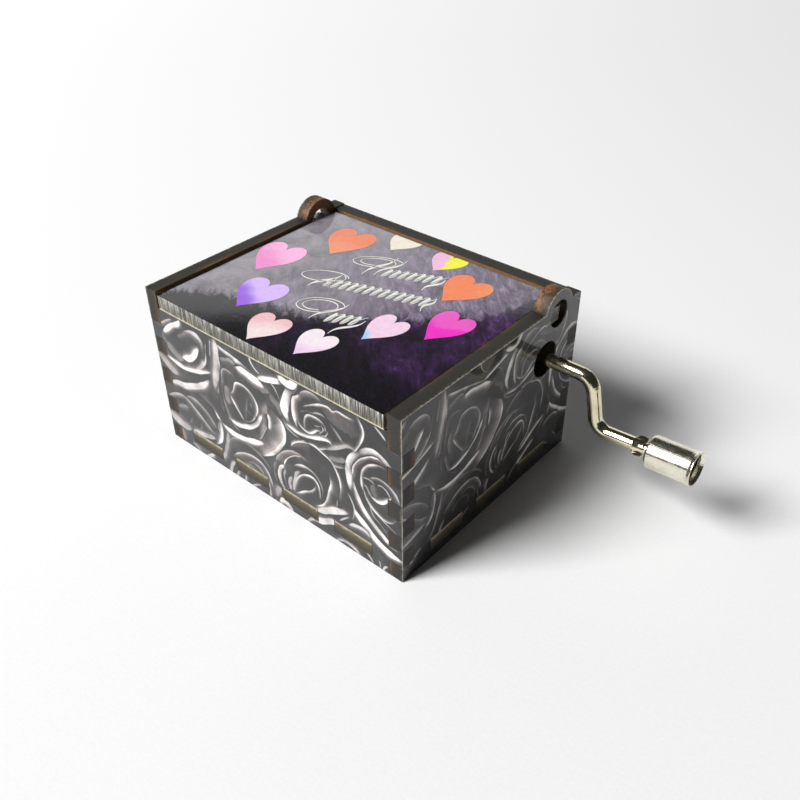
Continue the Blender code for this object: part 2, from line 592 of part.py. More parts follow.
def crank_arm(look):
    """The bent rod, thin where it screws into the shaft, pinched outside the knob and headed inside it."""
    path = crank_path()
    along_shaft = Vector((1, 0, 0))
    step = path[0] + along_shaft * CRANK_SCREW_LENGTH
    rings = [rod_ring(path[0], along_shaft, CRANK_SCREW_R), rod_ring(step, along_shaft, CRANK_SCREW_R),
             rod_ring(step, along_shaft, ROD_R)]
    for before, point, after in zip(path, path[1:], path[2:]):
        rings.append(rod_ring(point, (after - before).normalized(), ROD_R))
    pinch = ((3.2, ROD_R, 0, 0), (2.9, ROD_R, 0.55, 0.15), (2.0, ROD_R, 0.75, 0.35), (1.2, ROD_R, 0.6, 0.3),
             (0.8, CRANK_NECK_R, 0.1, 0), (0.45, CRANK_NECK_R, 0, 0))
    for back, radius, fin, flat in pinch:
        rings.append(rod_ring(KNOB_IN - KNOB_AXIS * back, KNOB_AXIS, radius, fin, flat))
    for ahead, radius in ((0.75, CRANK_NECK_R), (0.76, 1.9), (1.3, 1.95), (CRANK_HEAD_END, 1.3)):
        rings.append(rod_ring(KNOB_IN + KNOB_AXIS * ahead, KNOB_AXIS, radius))
    bm = bmesh.new()
    loops = [[bm.verts.new(corner) for corner in ring] for ring in rings]
    for low, high in zip(loops, loops[1:]):
        for i in range(len(low)):
            j = (i + 1) % len(low)
            bm.faces.new((low[i], low[j], high[j], high[i]))
    bm.faces.new(loops[0])
    bm.faces.new(loops[-1])
    return finish(bm, "crank_arm", look, pivot=(0, SHAFT_Y, SHAFT_Z), smooth=50)


def crank_knob(look):
    """The drawn sleeve that turns on the rod: a pierced inner end, a straight barrel and a flared lip."""
    length, inner = KNOB_LENGTH, KNOB_R - KNOB_WALL
    end = [(KNOB_HOLE_R, KNOB_WALL), (KNOB_HOLE_R, 0)]
    turns = [pi / 2 * i / 4 for i in range(5)]
    end += [(KNOB_R - KNOB_ROUND * (1 - sin(turn)), KNOB_ROUND * (1 - cos(turn))) for turn in turns]
    flare = [(KNOB_R, length - 1.1), (KNOB_R + 0.08, length - 0.6), (KNOB_LIP_R, length - 0.1),
             (KNOB_LIP_R, length)]
    inside = [(KNOB_LIP_R - 0.3, length), (inner + 0.1, length - 0.6), (inner, length - 1.1),
              (inner, KNOB_WALL)]
    bm = bmesh.new()
    add_turned(bm, end + flare + inside, KNOB_IN, KNOB_AXIS, 48)
    return finish(bm, "crank_knob", look, pivot=KNOB_IN, smooth=30)


def build():
    clear_scene()
    board = material("printed_board", (0.10, 0.10, 0.11), 0.0, 0.25)
    dark_board = material("purple_print_board", (0.05, 0.03, 0.07), 0.0, 0.12)
    raw_board = material("raw_board", (0.24, 0.17, 0.10), 0.0, 0.7)
    nickel = material("nickel", (0.80, 0.77, 0.68), 1.0, 0.12)
    satin = material("satin_nickel", (0.85, 0.83, 0.77), 1.0, 0.22)
    brass = material("brass", (0.76, 0.58, 0.28), 1.0, 0.25)
    steel = material("steel", (0.58, 0.58, 0.60), 1.0, 0.3)
    zinc = material("cast_zinc", (0.50, 0.50, 0.50), 1.0, 0.45)

    front_and_back_wall("front_wall", -HALF_Y, LID_Z - GAP, board)
    front_and_back_wall("back_wall", INNER_Y, HEIGHT - 0.2, board)
    side_wall("left_wall", -HALF_X, board, crank_hole=False)
    side_wall("right_wall", INNER_X, board, crank_hole=True)
    bottom_panel(raw_board)
    lid(dark_board)

    bedplate(zinc)
    comb(steel)
    for number, (x, y) in enumerate(COMB_SCREWS, 1):
        cheese_screw(f"comb_screw_{number}", brass, (x, y, COMB_Z + COMB_THICK + GAP), depth=5.0,
                     shank_r=SCREW_R, head_r=1.7, head_height=1.0, slot_turn=0.7 * number)
    drum(brass)
    drum_cap(brass)
    drum_gear(brass)
    drum_arbor(steel)
    worm_bracket(nickel)
    for number, (x, y) in enumerate(BRACKET_SCREWS, 1):
        cheese_screw(f"bracket_screw_{number}", steel, (x, y, BED_TOP + 2 * GAP + BRACKET_THICK), depth=2.6,
                     shank_r=SCREW_R, head_r=1.6, head_height=0.9, slot_turn=1.1 * number)
    worm_shaft(steel)
    groove_start, groove_end, groove_r = GROOVE
    ring_piece("shaft_clip", steel, groove_r + 0.15, 2.3, SHAFT_START + groove_start + 0.08,
               SHAFT_START + groove_end - 0.08)
    ring_piece("thrust_washer", brass, JOURNAL_R + 0.1, 2.6, DRUM_X + EAR_OUTER + 0.1,
               DRUM_X + EAR_OUTER + 0.5)
    for number, (x, y) in enumerate(MOVEMENT_SCREWS, 1):
        cheese_screw(f"movement_screw_{number}", steel, (x, y, PANEL_Z - GAP), depth=BED_TOP - PANEL_Z - 0.2,
                     shank_r=MOVEMENT_SCREW_R, head_r=2.1, head_height=1.2, way=-1, slot_turn=0.5 * number)
    crank_arm(nickel)
    crank_knob(satin)


build()
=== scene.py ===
"""Looks of the hand-cranked music box: rose-printed board case, watercolour lid with hearts, nickel crank.

Sizes are in millimetres in the case's own frame: X is 0 at the middle of the case, and the rest is as in
the CAD. to_world() turns them into the row frame's metres.
"""

from collections import namedtuple
from math import ceil, cos, pi, radians, sin

import bpy
import numpy as np
from mathutils import Matrix, Vector
from mathutils.geometry import tessellate_polygon


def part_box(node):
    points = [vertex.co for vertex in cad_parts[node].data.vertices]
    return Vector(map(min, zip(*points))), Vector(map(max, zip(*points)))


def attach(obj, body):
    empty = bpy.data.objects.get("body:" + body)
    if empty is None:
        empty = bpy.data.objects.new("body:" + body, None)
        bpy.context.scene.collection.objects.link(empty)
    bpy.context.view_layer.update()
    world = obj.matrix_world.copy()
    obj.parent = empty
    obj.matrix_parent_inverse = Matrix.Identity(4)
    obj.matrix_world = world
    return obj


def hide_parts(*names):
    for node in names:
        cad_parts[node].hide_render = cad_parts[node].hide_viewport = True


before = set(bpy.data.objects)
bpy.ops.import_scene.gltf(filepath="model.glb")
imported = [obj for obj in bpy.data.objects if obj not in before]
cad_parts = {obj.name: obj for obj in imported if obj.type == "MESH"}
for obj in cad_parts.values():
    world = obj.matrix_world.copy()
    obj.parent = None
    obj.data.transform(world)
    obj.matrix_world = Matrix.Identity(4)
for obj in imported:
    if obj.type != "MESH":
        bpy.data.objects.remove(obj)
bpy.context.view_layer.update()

MM = 0.001
PER_MM = 1000.0


def low_high(node):
    low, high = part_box(node)
    return low / MM, high / MM


LEFT, RIGHT = low_high("left_wall"), low_high("right_wall")
PANEL = low_high("bottom_panel")
LID = low_high("lid")
CLIP = low_high("shaft_clip")

# Case
CASE_X = (LEFT[0].x + RIGHT[1].x) / 2
HALF_X, HALF_Y = (RIGHT[1].x - LEFT[0].x) / 2, RIGHT[1].y
BOARD = LEFT[1].x - LEFT[0].x
HEIGHT = 36.0
FINGER = HEIGHT / 10
INNER_X, INNER_Y = HALF_X - BOARD, HALF_Y - BOARD
KERF = 0.07
TAB_WIDTH, TAB_PITCH = 9.1, 13.5
PANEL_Z = PANEL[0].z

# Lid, hinge and crank
LID_TOP, LID_Z = LID[1].z, LID[0].z
TENON_REACH = LID[1].x - CASE_X
TENON_WIDTH = 2.8
LID_HALF_X, LID_BACK_Y = INNER_X - 0.65, LID[1].y
HINGE_Y, HINGE_HOLE_Z, HINGE_HOLE_R = 18.4, 34.5, 2.75
EAR_Z, EAR_R = 34.8, 4.5
SHAFT_Y, SHAFT_Z = (CLIP[0].y + CLIP[1].y) / 2, (CLIP[0].z + CLIP[1].z) / 2
CRANK_HOLE_Z, CRANK_HOLE_R = SHAFT_Z - 0.25, 3.65

PRINT_STEP = 0.12  # spacing of the printed faces' grid
DEPTHS = (0.0, 0.3, 1.0, 2.0, BOARD)  # rings of points through a board

# Where the lid's dark wash ends and the painted reflection, a pale veil, begins, in shares of WASH_SPAN
# across and up, from -WASH_SPAN / 2
WASH_SPAN = 60
VEIL_BORDER = ((0.03, 0.12), (0.17, 0.22), (0.33, 0.26), (0.50, 0.29), (0.63, 0.39), (0.73, 0.47), (0.83, 0.56),
          (0.90, 0.64), (0.94, 0.78), (0.96, 0.98))

# Camera, solved for the case's corners
LENS = 39.482
AZIMUTH, ELEVATION, ROLL = radians(41.029), radians(36.760), radians(-0.514)
TARGET = Vector((12.511, -3.644, 18.0))
DISTANCE = 166.804


def to_world(point):
    return (Vector(point) + Vector((CASE_X, 0, 0))) * MM


def srgb(red, green, blue):
    """A colour in linear light, from its 0 to 255 display values."""
    return [c / 255 / 12.92 if c <= 10 else ((c / 255 + 0.055) / 1.055) ** 2.4 for c in (red, green, blue)]


# ---------------------------------------------------------------- shader helpers


def new_material(name):
    made = bpy.data.materials.new(name)
    made.use_nodes = True
    return made, made.node_tree, made.node_tree.nodes["Principled BSDF"]


def node(tree, kind, inputs=None, **settings):
    """A shader node. An input's value is a number, a colour or another node's output."""
    made = tree.nodes.new("ShaderNode" + kind)
    for key, value in settings.items():
        setattr(made, key, value)
    for key, value in (inputs or {}).items():
        if isinstance(value, bpy.types.NodeSocket):
            tree.links.new(value, made.inputs[key])
        else:
            made.inputs[key].default_value = value
    return made


def plug(tree, shader, **sockets):
    """Sets or links the shader's sockets. Base_Color stands for Base Color."""
    for key, value in sockets.items():
        socket = shader.inputs[key.replace("_", " ")]
        if isinstance(value, bpy.types.NodeSocket):
            tree.links.new(value, socket)
        else:
            socket.default_value = value


def millimetres(tree, stretch=(1, 1, 1)):
    """Object coordinates in millimetres, each axis times its stretch."""
    place = node(tree, "TexCoord").outputs["Object"]
    factor = [PER_MM * s for s in stretch]
    return node(tree, "VectorMath", {0: place, 1: factor}, operation="MULTIPLY").outputs[0]


def noise(tree, scale, detail=4.0, rough=0.55, stretch=(1, 1, 1), distortion=0.0):
    inputs = {"Vector": millimetres(tree, stretch), "Scale": scale, "Detail": detail, "Roughness": rough,
              "Distortion": distortion}
    return node(tree, "TexNoise", inputs).outputs["Fac"]


def ramp(tree, value, *stops):
    """A colour ramp through (position, (red, green, blue)) stops."""
    made = node(tree, "ValToRGB", {"Fac": value})
    points = made.color_ramp.elements
    while len(points) < len(stops):
        points.new(0.5)
    for point, (position, colour) in zip(points, stops):
        point.position = position
        point.color = (*colour, 1)
    return made.outputs["Color"]


def math(tree, operation, *values):
    return node(tree, "Math", dict(enumerate(values)), operation=operation).outputs[0]


def along_axis(tree, axis):
    """The X, Y or Z coordinate in millimetres, with axis 0, 1 or 2."""
    return node(tree, "SeparateXYZ", {0: millimetres(tree)}).outputs[axis]


def grey_of(tree, value):
    return node(tree, "CombineColor", {0: value, 1: value, 2: value}).outputs[0]


def spread(tree, value, low, high, to_low=0.0, to_high=1.0):
    inputs = {"Value": value, "From Min": low, "From Max": high, "To Min": to_low, "To Max": to_high}
    return node(tree, "MapRange", inputs).outputs[0]


def mix(tree, share, first, second, blend="MIX"):
    made = tree.nodes.new("ShaderNodeMix")
    made.data_type = "RGBA"
    made.blend_type = blend
    for index, value in ((0, share), (6, first), (7, second)):
        if isinstance(value, bpy.types.NodeSocket):
            tree.links.new(value, made.inputs[index])
        elif index:
            made.inputs[index].default_value = (*value, 1)
        else:
            made.inputs[index].default_value = value
    return made.outputs[2]


def bump(tree, height, depth_mm, strength=1.0):
    return node(tree, "Bump", {"Height": height, "Distance": depth_mm * MM, "Strength": strength}).outputs[0]


def attribute(tree, name):
    return node(tree, "Attribute", attribute_name=name)


# ---------------------------------------------------------------- materials


def rose_print():
    """Lacquered grey print. Its tone and warmth come from the painted attributes."""
    made, tree, shader = new_material("rose_print")
    tone = attribute(tree, "tone").outputs["Fac"]
    speckle = spread(tree, noise(tree, 5.0, 6, 0.75), 0.25, 0.75, -0.09, 0.09)
    cloud = spread(tree, noise(tree, 0.22, 3), 0.3, 0.7, -0.05, 0.04)
    speckle = math(tree, "MULTIPLY", speckle, spread(tree, tone, PAPER_TONE, 0.6, 0.25, 1.3))
    tone = math(tree, "ADD", tone, math(tree, "ADD", speckle, cloud))
    grey = ramp(tree, tone, (0.0, (0.002, 0.002, 0.002)), (0.22, (0.006, 0.006, 0.007)),
                (PAPER_TONE, (0.026, 0.026, 0.027)), (0.52, (0.13, 0.125, 0.122)), (0.72, (0.42, 0.41, 0.40)),
                (0.88, (0.76, 0.75, 0.74)), (1.0, (0.92, 0.91, 0.90)))
    warm = mix(tree, attribute(tree, "warm").outputs["Fac"], (1, 1, 1), (1.0, 0.88, 0.86))
    colour = mix(tree, 1.0, grey, warm, "MULTIPLY")
    plug(tree, shader, Base_Color=colour, Roughness=0.4, Specular_IOR_Level=0.1, Coat_Weight=1.0,
         Coat_IOR=1.32, Coat_Roughness=0.05, Coat_Normal=bump(tree, noise(tree, 1.5, 3), 0.006))
    return made


def cut_edge():
    """Laser-charred board edge: pale at the print, then dark, and warm brown within and on the ears."""
    made, tree, shader = new_material("cut_edge")
    line, beside_line = srgb(150, 142, 124), srgb(84, 76, 60)
    depth = attribute(tree, "depth").outputs["Fac"]
    streak = noise(tree, 1.6, 5, 0.7, stretch=(1.0, 1.0, 0.35))
    depth = math(tree, "ADD", depth, spread(tree, streak, 0.25, 0.75, -0.14, 0.14))
    colour = ramp(tree, depth, (0.0, line), (0.05, beside_line), (0.14, srgb(38, 35, 29)),
                  (0.58, srgb(34, 31, 25)), (0.80, srgb(76, 54, 32)), (1.0, srgb(116, 78, 40)))
    charred = ramp(tree, depth, (0.0, line), (0.05, beside_line), (0.14, srgb(40, 37, 30)),
                   (1.0, srgb(48, 42, 32)))
    colour = mix(tree, spread(tree, noise(tree, 0.09, 2), 0.48, 0.66), charred, colour)
    bare = ramp(tree, depth, (0.0, line), (0.06, srgb(58, 48, 36)), (0.30, srgb(84, 58, 34)),
                (0.60, srgb(140, 92, 48)), (1.0, srgb(150, 100, 56)))
    ear = math(tree, "MULTIPLY", spread(tree, along_axis(tree, 2), HEIGHT + 0.1, HEIGHT + 0.6),
               spread(tree, streak, 0.38, 0.58))
    colour = mix(tree, ear, colour, bare)
    fleck = spread(tree, noise(tree, 6.0, 4, 0.7), 0.4, 0.72, 0.55, 1.35)
    colour = mix(tree, 1.0, colour, grey_of(tree, fleck), "MULTIPLY")
    plug(tree, shader, Base_Color=colour, Roughness=0.62, Normal=bump(tree, streak, 0.05))
    return made


BARE_DARK, BARE_LIGHT = srgb(96, 72, 46), srgb(146, 114, 78)


def fibreboard(name):
    """Bare fibreboard, with short fibres and dark specks."""
    made, tree, shader = new_material(name)
    fibres = noise(tree, 1.4, 6, 0.7, stretch=(1.0, 1.6, 1.6), distortion=0.6)
    specks = spread(tree, noise(tree, 4.5, 2), 0.62, 0.72)
    colour = ramp(tree, fibres, (0.3, BARE_DARK), (0.7, BARE_LIGHT))
    colour = mix(tree, specks, colour, [c * 0.4 for c in BARE_DARK])
    plug(tree, shader, Base_Color=colour, Roughness=0.78, Normal=bump(tree, fibres, 0.06))
    return made


def panel_board():
    """The bottom panel: bare board whose charred tab ends grow lighter towards the top, with a painted
    highlight line along their upper edge.
    """
    made, tree, shader = new_material("panel_board")
    height = math(tree, "SUBTRACT", along_axis(tree, 2), PANEL_Z)
    streak = noise(tree, 1.1, 5, 0.7, stretch=(1.0, 1.0, 2.2))
    height = math(tree, "ADD", height, spread(tree, streak, 0.25, 0.75, -0.45, 0.45))
    share = math(tree, "DIVIDE", height, BOARD)
    # charred tab ends, darker low and lighter upwards, with a painted highlight line at the top
    char_and_highlight = ramp(tree, share, (0.0, srgb(48, 42, 34)), (0.35, srgb(62, 56, 43)), (0.72, srgb(84, 76, 58)),
                (0.86, srgb(128, 118, 94)), (1.0, srgb(176, 168, 146)))
    fibres = noise(tree, 1.4, 6, 0.7, distortion=0.6)
    bare = ramp(tree, fibres, (0.3, BARE_DARK), (0.7, BARE_LIGHT))
    case_x = math(tree, "SUBTRACT", along_axis(tree, 0), CASE_X)
    past_x = math(tree, "GREATER_THAN", math(tree, "ABSOLUTE", case_x), INNER_X - 0.3)
    past_y = math(tree, "GREATER_THAN", math(tree, "ABSOLUTE", along_axis(tree, 1)), INNER_Y - 0.3)
    colour = mix(tree, math(tree, "MAXIMUM", past_x, past_y), bare, char_and_highlight)
    plug(tree, shader, Base_Color=colour, Roughness=0.66, Normal=bump(tree, streak, 0.05))
    return made


def watercolour():
    """The lid's print: black-violet washes in front of a ragged curving border, and behind it a painted
    reflection, a pale veil over the print, grey on the left to mauve on the right.
    """
    made, tree, shader = new_material("watercolour")
    half = WASH_SPAN / 2
    case_x, case_y = math(tree, "SUBTRACT", along_axis(tree, 0), CASE_X), along_axis(tree, 1)
    across = spread(tree, case_x, -half, half)
    border = ramp(tree, across, *((share, [height] * 3) for share, height in VEIL_BORDER))
    border = spread(tree, border, 0, 1, -half, half)
    rising, falling = math(tree, "ADD", case_x, case_y), math(tree, "SUBTRACT", case_x, case_y)
    slant = node(tree, "CombineXYZ", {0: math(tree, "MULTIPLY", rising, 0.9),
                                      1: math(tree, "MULTIPLY", falling, 0.3)}).outputs[0]
    strokes = node(tree, "TexNoise", {"Vector": slant, "Scale": 0.55, "Detail": 9.0, "Roughness": 0.74,
                                      "Distortion": 0.5}).outputs["Fac"]
    ragged = spread(tree, strokes, 0.25, 0.75, -3.4, 3.4)
    fine = spread(tree, noise(tree, 1.6, 6, 0.8), 0.25, 0.75, -1.3, 1.3)
    line = math(tree, "ADD", math(tree, "SUBTRACT", case_y, border), math(tree, "ADD", ragged, fine))
    # share of the painted reflection, the pale veil, behind the ragged border
    veil_share = spread(tree, line, -1.6, 1.6)
    wash = noise(tree, 0.085, 4, 0.6, distortion=0.4)
    amount = math(tree, "ADD", math(tree, "MULTIPLY", strokes, 0.55), math(tree, "MULTIPLY", wash, 0.75))
    amount = math(tree, "ADD", amount, spread(tree, case_x, -26, 14, -0.10, 0.03))
    amount = math(tree, "SUBTRACT", amount, spread(tree, case_y, -12, -25, 0.0, 0.13))
    dark = ramp(tree, amount, (0.50, srgb(5, 3, 7)), (0.62, srgb(23, 9, 31)), (0.74, srgb(54, 28, 68)),
                (0.88, srgb(112, 80, 128)))
    mottle = noise(tree, 0.16, 7, 0.66, distortion=0.5)
    # painted reflection: a pale veil of room light, grey on the left and tinted mauve by the print towards
    # the right
    grey = ramp(tree, mottle, (0.34, srgb(104, 98, 106)), (0.5, srgb(140, 136, 142)),
                (0.66, srgb(160, 154, 164)))
    mauve = ramp(tree, strokes, (0.36, srgb(50, 37, 58)), (0.5, srgb(96, 81, 106)),
                 (0.64, srgb(144, 127, 154)))
    pale = mix(tree, spread(tree, case_x, -24, 14, 0.08, 0.95), grey, mauve)
    colour = mix(tree, veil_share, dark, pale)
    scratch = spread(tree, noise(tree, 2.6, 5, 0.8, stretch=(2.2, 0.35, 1)), 0.60, 0.78)
    share = math(tree, "MULTIPLY", scratch, spread(tree, amount, 0.58, 0.85, 0.02, 0.45))
    colour = mix(tree, share, colour, srgb(176, 146, 194))  # pale scratches, then specks
    speck = spread(tree, noise(tree, 5.5, 3, 0.6), 0.66, 0.74, 0.0, 0.35)
    colour = mix(tree, speck, colour, srgb(150, 130, 164))
    plug(tree, shader, Base_Color=colour, Roughness=0.4, Specular_IOR_Level=0.1, Coat_Weight=1.0,
         Coat_Roughness=0.03, Coat_Normal=bump(tree, noise(tree, 0.8, 5, 0.7), 0.012, 0.5))
    return made


def lid_edge():
    """The lid's cut edge: silvery vertical scratches on dark board, with a painted highlight, a pale cream
    glint line, at the bottom.
    """
    made, tree, shader = new_material("lid_edge")
    share = spread(tree, along_axis(tree, 2), LID_Z, LID_TOP)
    scratch = noise(tree, 2.2, 5, 0.8, stretch=(2.0, 2.0, 0.12))
    colour = ramp(tree, scratch, (0.38, srgb(30, 28, 25)), (0.50, srgb(112, 110, 103)),
                  (0.60, srgb(224, 224, 218)))
    # a gradient: cream at the very bottom, part of the painted glint line, then dark and lighter towards the
    # top
    dim = ramp(tree, share, (0.0, (0.9, 0.86, 0.70)), (0.14, (0.42, 0.40, 0.33)), (0.45, (0.5, 0.49, 0.45)),
               (0.8, (0.75, 0.75, 0.73)), (1.0, (1.0, 1.0, 1.0)))
    colour = mix(tree, 1.0, colour, dim, "MULTIPLY")
    # painted highlight: a pale cream glint line along the bottom edge
    cream_glint = spread(tree, share, 0.13, 0.03, 0.0, 0.85)
    colour = mix(tree, cream_glint, colour, srgb(206, 200, 170))
    plug(tree, shader, Base_Color=colour, Roughness=0.45, Normal=bump(tree, scratch, 0.06))
    return made


def paper_print():
    """The hearts: watercolour paper tints from the painted attribute, mottled."""
    made, tree, shader = new_material("paper_print")
    tint = attribute(tree, "tint").outputs["Color"]
    mottle = spread(tree, noise(tree, 0.9, 6, 0.7), 0.3, 0.7, 0.90, 1.07)
    colour = mix(tree, 1.0, tint, grey_of(tree, mottle), "MULTIPLY")
    plug(tree, shader, Base_Color=colour, Roughness=0.5, Specular_IOR_Level=0.4, Coat_Weight=0.5,
         Coat_Roughness=0.06, Normal=bump(tree, noise(tree, 3.0, 4), 0.01))
    return made


def silver_ink():
    made, tree, shader = new_material("silver_ink")
    wear = noise(tree, 1.2, 5, 0.7)
    colour = ramp(tree, wear, (0.30, srgb(206, 208, 196)), (0.5, srgb(238, 240, 228)),
                  (0.7, srgb(250, 250, 242)))
    plug(tree, shader, Base_Color=colour, Roughness=0.42, Metallic=0.1, Normal=bump(tree, wear, 0.01))
    return made


def metal(name, dark, light, rough, grain_scale=2.0, stretch=(1, 1, 1), dent=0.01):
    """A metal with cloudy tarnish, and fine scratches drawn out along the axes whose stretch is small."""
    made, tree, shader = new_material(name)
    cloud = noise(tree, 0.5, 4)
    scratch = noise(tree, grain_scale, 6, 0.75, stretch=stretch)
    colour = ramp(tree, cloud, (0.3, dark), (0.7, light))
    roughness = math(tree, "ADD", rough, spread(tree, scratch, 0.3, 0.75, -0.3 * rough, 0.8 * rough))
    plug(tree, shader, Base_Color=colour, Metallic=1.0, Roughness=roughness, Normal=bump(tree, scratch, dent))
    return made


def cast_zinc():
    made, tree, shader = new_material("cast_zinc")
    pits = noise(tree, 3.0, 6, 0.7)
    colour = ramp(tree, noise(tree, 0.3, 4), (0.3, srgb(128, 128, 130)), (0.7, srgb(168, 168, 168)))
    plug(tree, shader, Base_Color=colour, Metallic=0.9, Roughness=spread(tree, pits, 0.3, 0.7, 0.38, 0.6),
         Normal=bump(tree, pits, 0.05))
    return made


def paper_floor():
    made, tree, shader = new_material("paper_floor")
    tooth = noise(tree, 1.5, 3)
    colour = ramp(tree, tooth, (0.3, (0.865, 0.865, 0.87)), (0.7, (0.89, 0.89, 0.89)))
    plug(tree, shader, Base_Color=colour, Roughness=0.9, Specular_IOR_Level=0.1,
         Normal=bump(tree, tooth, 0.02))
    return made


# ---------------------------------------------------------------- mesh helpers


def add_object(name, mesh, looks):
    """Turns a mesh in case millimetres into an object in the row frame."""
    mesh.transform(Matrix.Scale(MM, 4) @ Matrix.Translation((CASE_X, 0, 0)))
    for look in looks:
        mesh.materials.append(look)
    made = bpy.data.objects.new(name, mesh)
    bpy.context.scene.collection.objects.link(made)
    return made


def mesh_of(name, points, faces, slots=None):
    mesh = bpy.data.meshes.new(name)
    mesh.from_pydata([tuple(p) for p in points], [], [tuple(f) for f in faces])
    if slots is not None:
        mesh.polygons.foreach_set("material_index", slots)
    mesh.update()
    return mesh


def set_values(mesh, name, values):
    mesh.attributes.new(name, "FLOAT", "POINT").data.foreach_set("value", np.asarray(values, np.float32))


def grid_lines(low, high, cuts, step):
    """Positions from low to high, through every cut, no further apart than step."""
    marks = sorted({low, high, *(c for c in cuts if low < c < high)})
    lines = []
    for start, end in zip(marks, marks[1:]):
        count = ceil((end - start) / step - 1e-6)
        lines += [start + (end - start) * i / count for i in range(count)]
    return np.array(lines + [high])


def board_cells(a_lines, b_lines, inside):
    a_mid, b_mid = (a_lines[1:] + a_lines[:-1]) / 2, (b_lines[1:] + b_lines[:-1]) / 2
    return inside(*np.meshgrid(a_mid, b_mid, indexing="ij"))


def rim_edges(kept, index):
    """The outer face's boundary edges, each running with the solid on its left."""
    wide = np.pad(kept, 1)
    edges = []
    for (da, db), (first, second) in (((0, -1), ((0, 0), (1, 0))), ((1, 0), ((1, 0), (1, 1))),
                                      ((0, 1), ((1, 1), (0, 1))), ((-1, 0), ((0, 1), (0, 0)))):
        beyond = wide[1 + da:1 + da + kept.shape[0], 1 + db:1 + db + kept.shape[1]]
        i, j = np.nonzero(kept & ~beyond)
        edges += zip(index[i + first[0], j + first[1]], index[i + second[0], j + second[1]])
    return [(int(p), int(q)) for p, q in edges]


def chained(edges):
    following = dict(edges)
    loops = []
    while following:
        start, point = following.popitem()
        loop = [start]
        while point != start:
            loop.append(point)
            point = following.pop(point)
        loops.append(loop)
    return loops


def board(name, a_lines, b_lines, inside, rounds, place, looks, paint=None):
    """A board with a fine grid on its outer face, cut edges, and a plain inner face.

    a runs to the right and b upwards, seen from outside. rounds are (a, b, radius, lowest b) circles that
    the cut follows. place turns (a, b, depth) into a point.
    """
    kept = board_cells(a_lines, b_lines, inside)
    wide = np.pad(kept.astype(int), 1)
    around = wide[:-1, :-1] + wide[1:, :-1] + wide[:-1, 1:] + wide[1:, 1:]
    a, b = np.meshgrid(a_lines, b_lines, indexing="ij")
    rim_points = (around > 0) & (around < 4)
    # the case's outer corner and top edges, which get a painted highlight
    outer = rim_points & ((np.abs(a) > a_lines[-1] - 0.01) | (b > HEIGHT - 0.3))
    for centre_a, centre_b, radius, lowest in rounds:
        away = np.hypot(a - centre_a, b - centre_b)
        near = rim_points & (np.abs(away - radius) < PRINT_STEP * 1.1) & (b > lowest)
        if lowest == 0:
            outer &= ~near
        a[near] = centre_a + (a[near] - centre_a) * radius / away[near]
        b[near] = centre_b + (b[near] - centre_b) * radius / away[near]
    used = around > 0
    index = np.full(used.shape, -1)
    index[used] = np.arange(used.sum())
    flat_a, flat_b = a[used], b[used]
    i, j = np.nonzero(kept)
    faces = np.stack([index[i, j], index[i + 1, j], index[i + 1, j + 1], index[i, j + 1]], 1).tolist()
    slots = [0] * len(faces)
    edges = rim_edges(kept, index)
    rim = [p for p, _ in edges]
    ring_start = {p: n for n, p in enumerate(rim)}
    points_ab = [(flat_a[n], flat_b[n], 0.0) for n in range(len(flat_a))]
    base = len(points_ab)
    for depth in DEPTHS[1:]:
        points_ab += [(flat_a[p], flat_b[p], depth) for p in rim]

    def at(point, level):
        return point if level == 0 else base + (level - 1) * len(rim) + ring_start[point]

    for level in range(len(DEPTHS) - 1):
        for p, q in edges:
            faces.append((at(q, level), at(p, level), at(p, level + 1), at(q, level + 1)))
            slots.append(1)
    loops = chained(edges)
    order = [p for loop in loops for p in loop]
    outline = [[Vector((flat_a[p], flat_b[p], 0)) for p in loop] for loop in loops]
    last = len(DEPTHS) - 1
    for corners in tessellate_polygon(outline):
        p, q, r = (order[c] for c in corners)
        turn = ((flat_a[q] - flat_a[p]) * (flat_b[r] - flat_b[p])
                - (flat_b[q] - flat_b[p]) * (flat_a[r] - flat_a[p]))
        p, q, r = (p, r, q) if turn > 0 else (p, q, r)
        faces.append((at(p, last), at(q, last), at(r, last)))
        slots.append(2)
    mesh = mesh_of(name, [place(*p) for p in points_ab], faces, slots)
    set_values(mesh, "depth", [p[2] / BOARD for p in points_ab])
    if paint:
        tone, warm = paint(a_lines, b_lines)
        tone[rim_points] = SINGED_TONE
        # painted highlight: pale print along the case's outer corner and top edges
        tone[outer] = EDGE_HIGHLIGHT_TONE
        rest = np.zeros(len(points_ab) - base)
        set_values(mesh, "tone", np.concatenate([tone[used], rest]))
        set_values(mesh, "warm", np.concatenate([warm[used], rest]))
    return add_object(name, mesh, looks)


# ---------------------------------------------------------------- the rose print
#
# One sheet of rose paper covers every wall. Its strokes are petal rims, drawn in the front wall's
# millimetres: width, lightness, fade, and then the points. The fade is how far the light side shades off,
# to the left of the stroke's way when positive.

PAPER_TONE, SINGED_TONE, EDGE_HIGHLIGHT_TONE = 0.38, 0.12, 0.92  # the bare sheet, cuts, and a painted highlight along the case's outer edges
EDGE_SOFTNESS = 0.12  # of a rim's edge
GLOW, GLOW_REACH = 0.70, 0.75  # on the light side, its reach as a share of the fade
SHADE, SHADE_DECAY, SHADE_REACH = 0.72, 0.6, 1.8  # on the petal beyond the rim
END_WIDTH, END_LIGHT = 0.25, 0.3  # at a rim's ends, as shares of its middle's
WOBBLE, WOBBLE_LIGHT = 0.03, 0.08
FINE_RIM, FINE_HALF, FULL_HALF = 0.6, 0.42, 0.5  # half widths as shares, of rims below the first and above

Stroke = namedtuple("Stroke", "width light fade points")

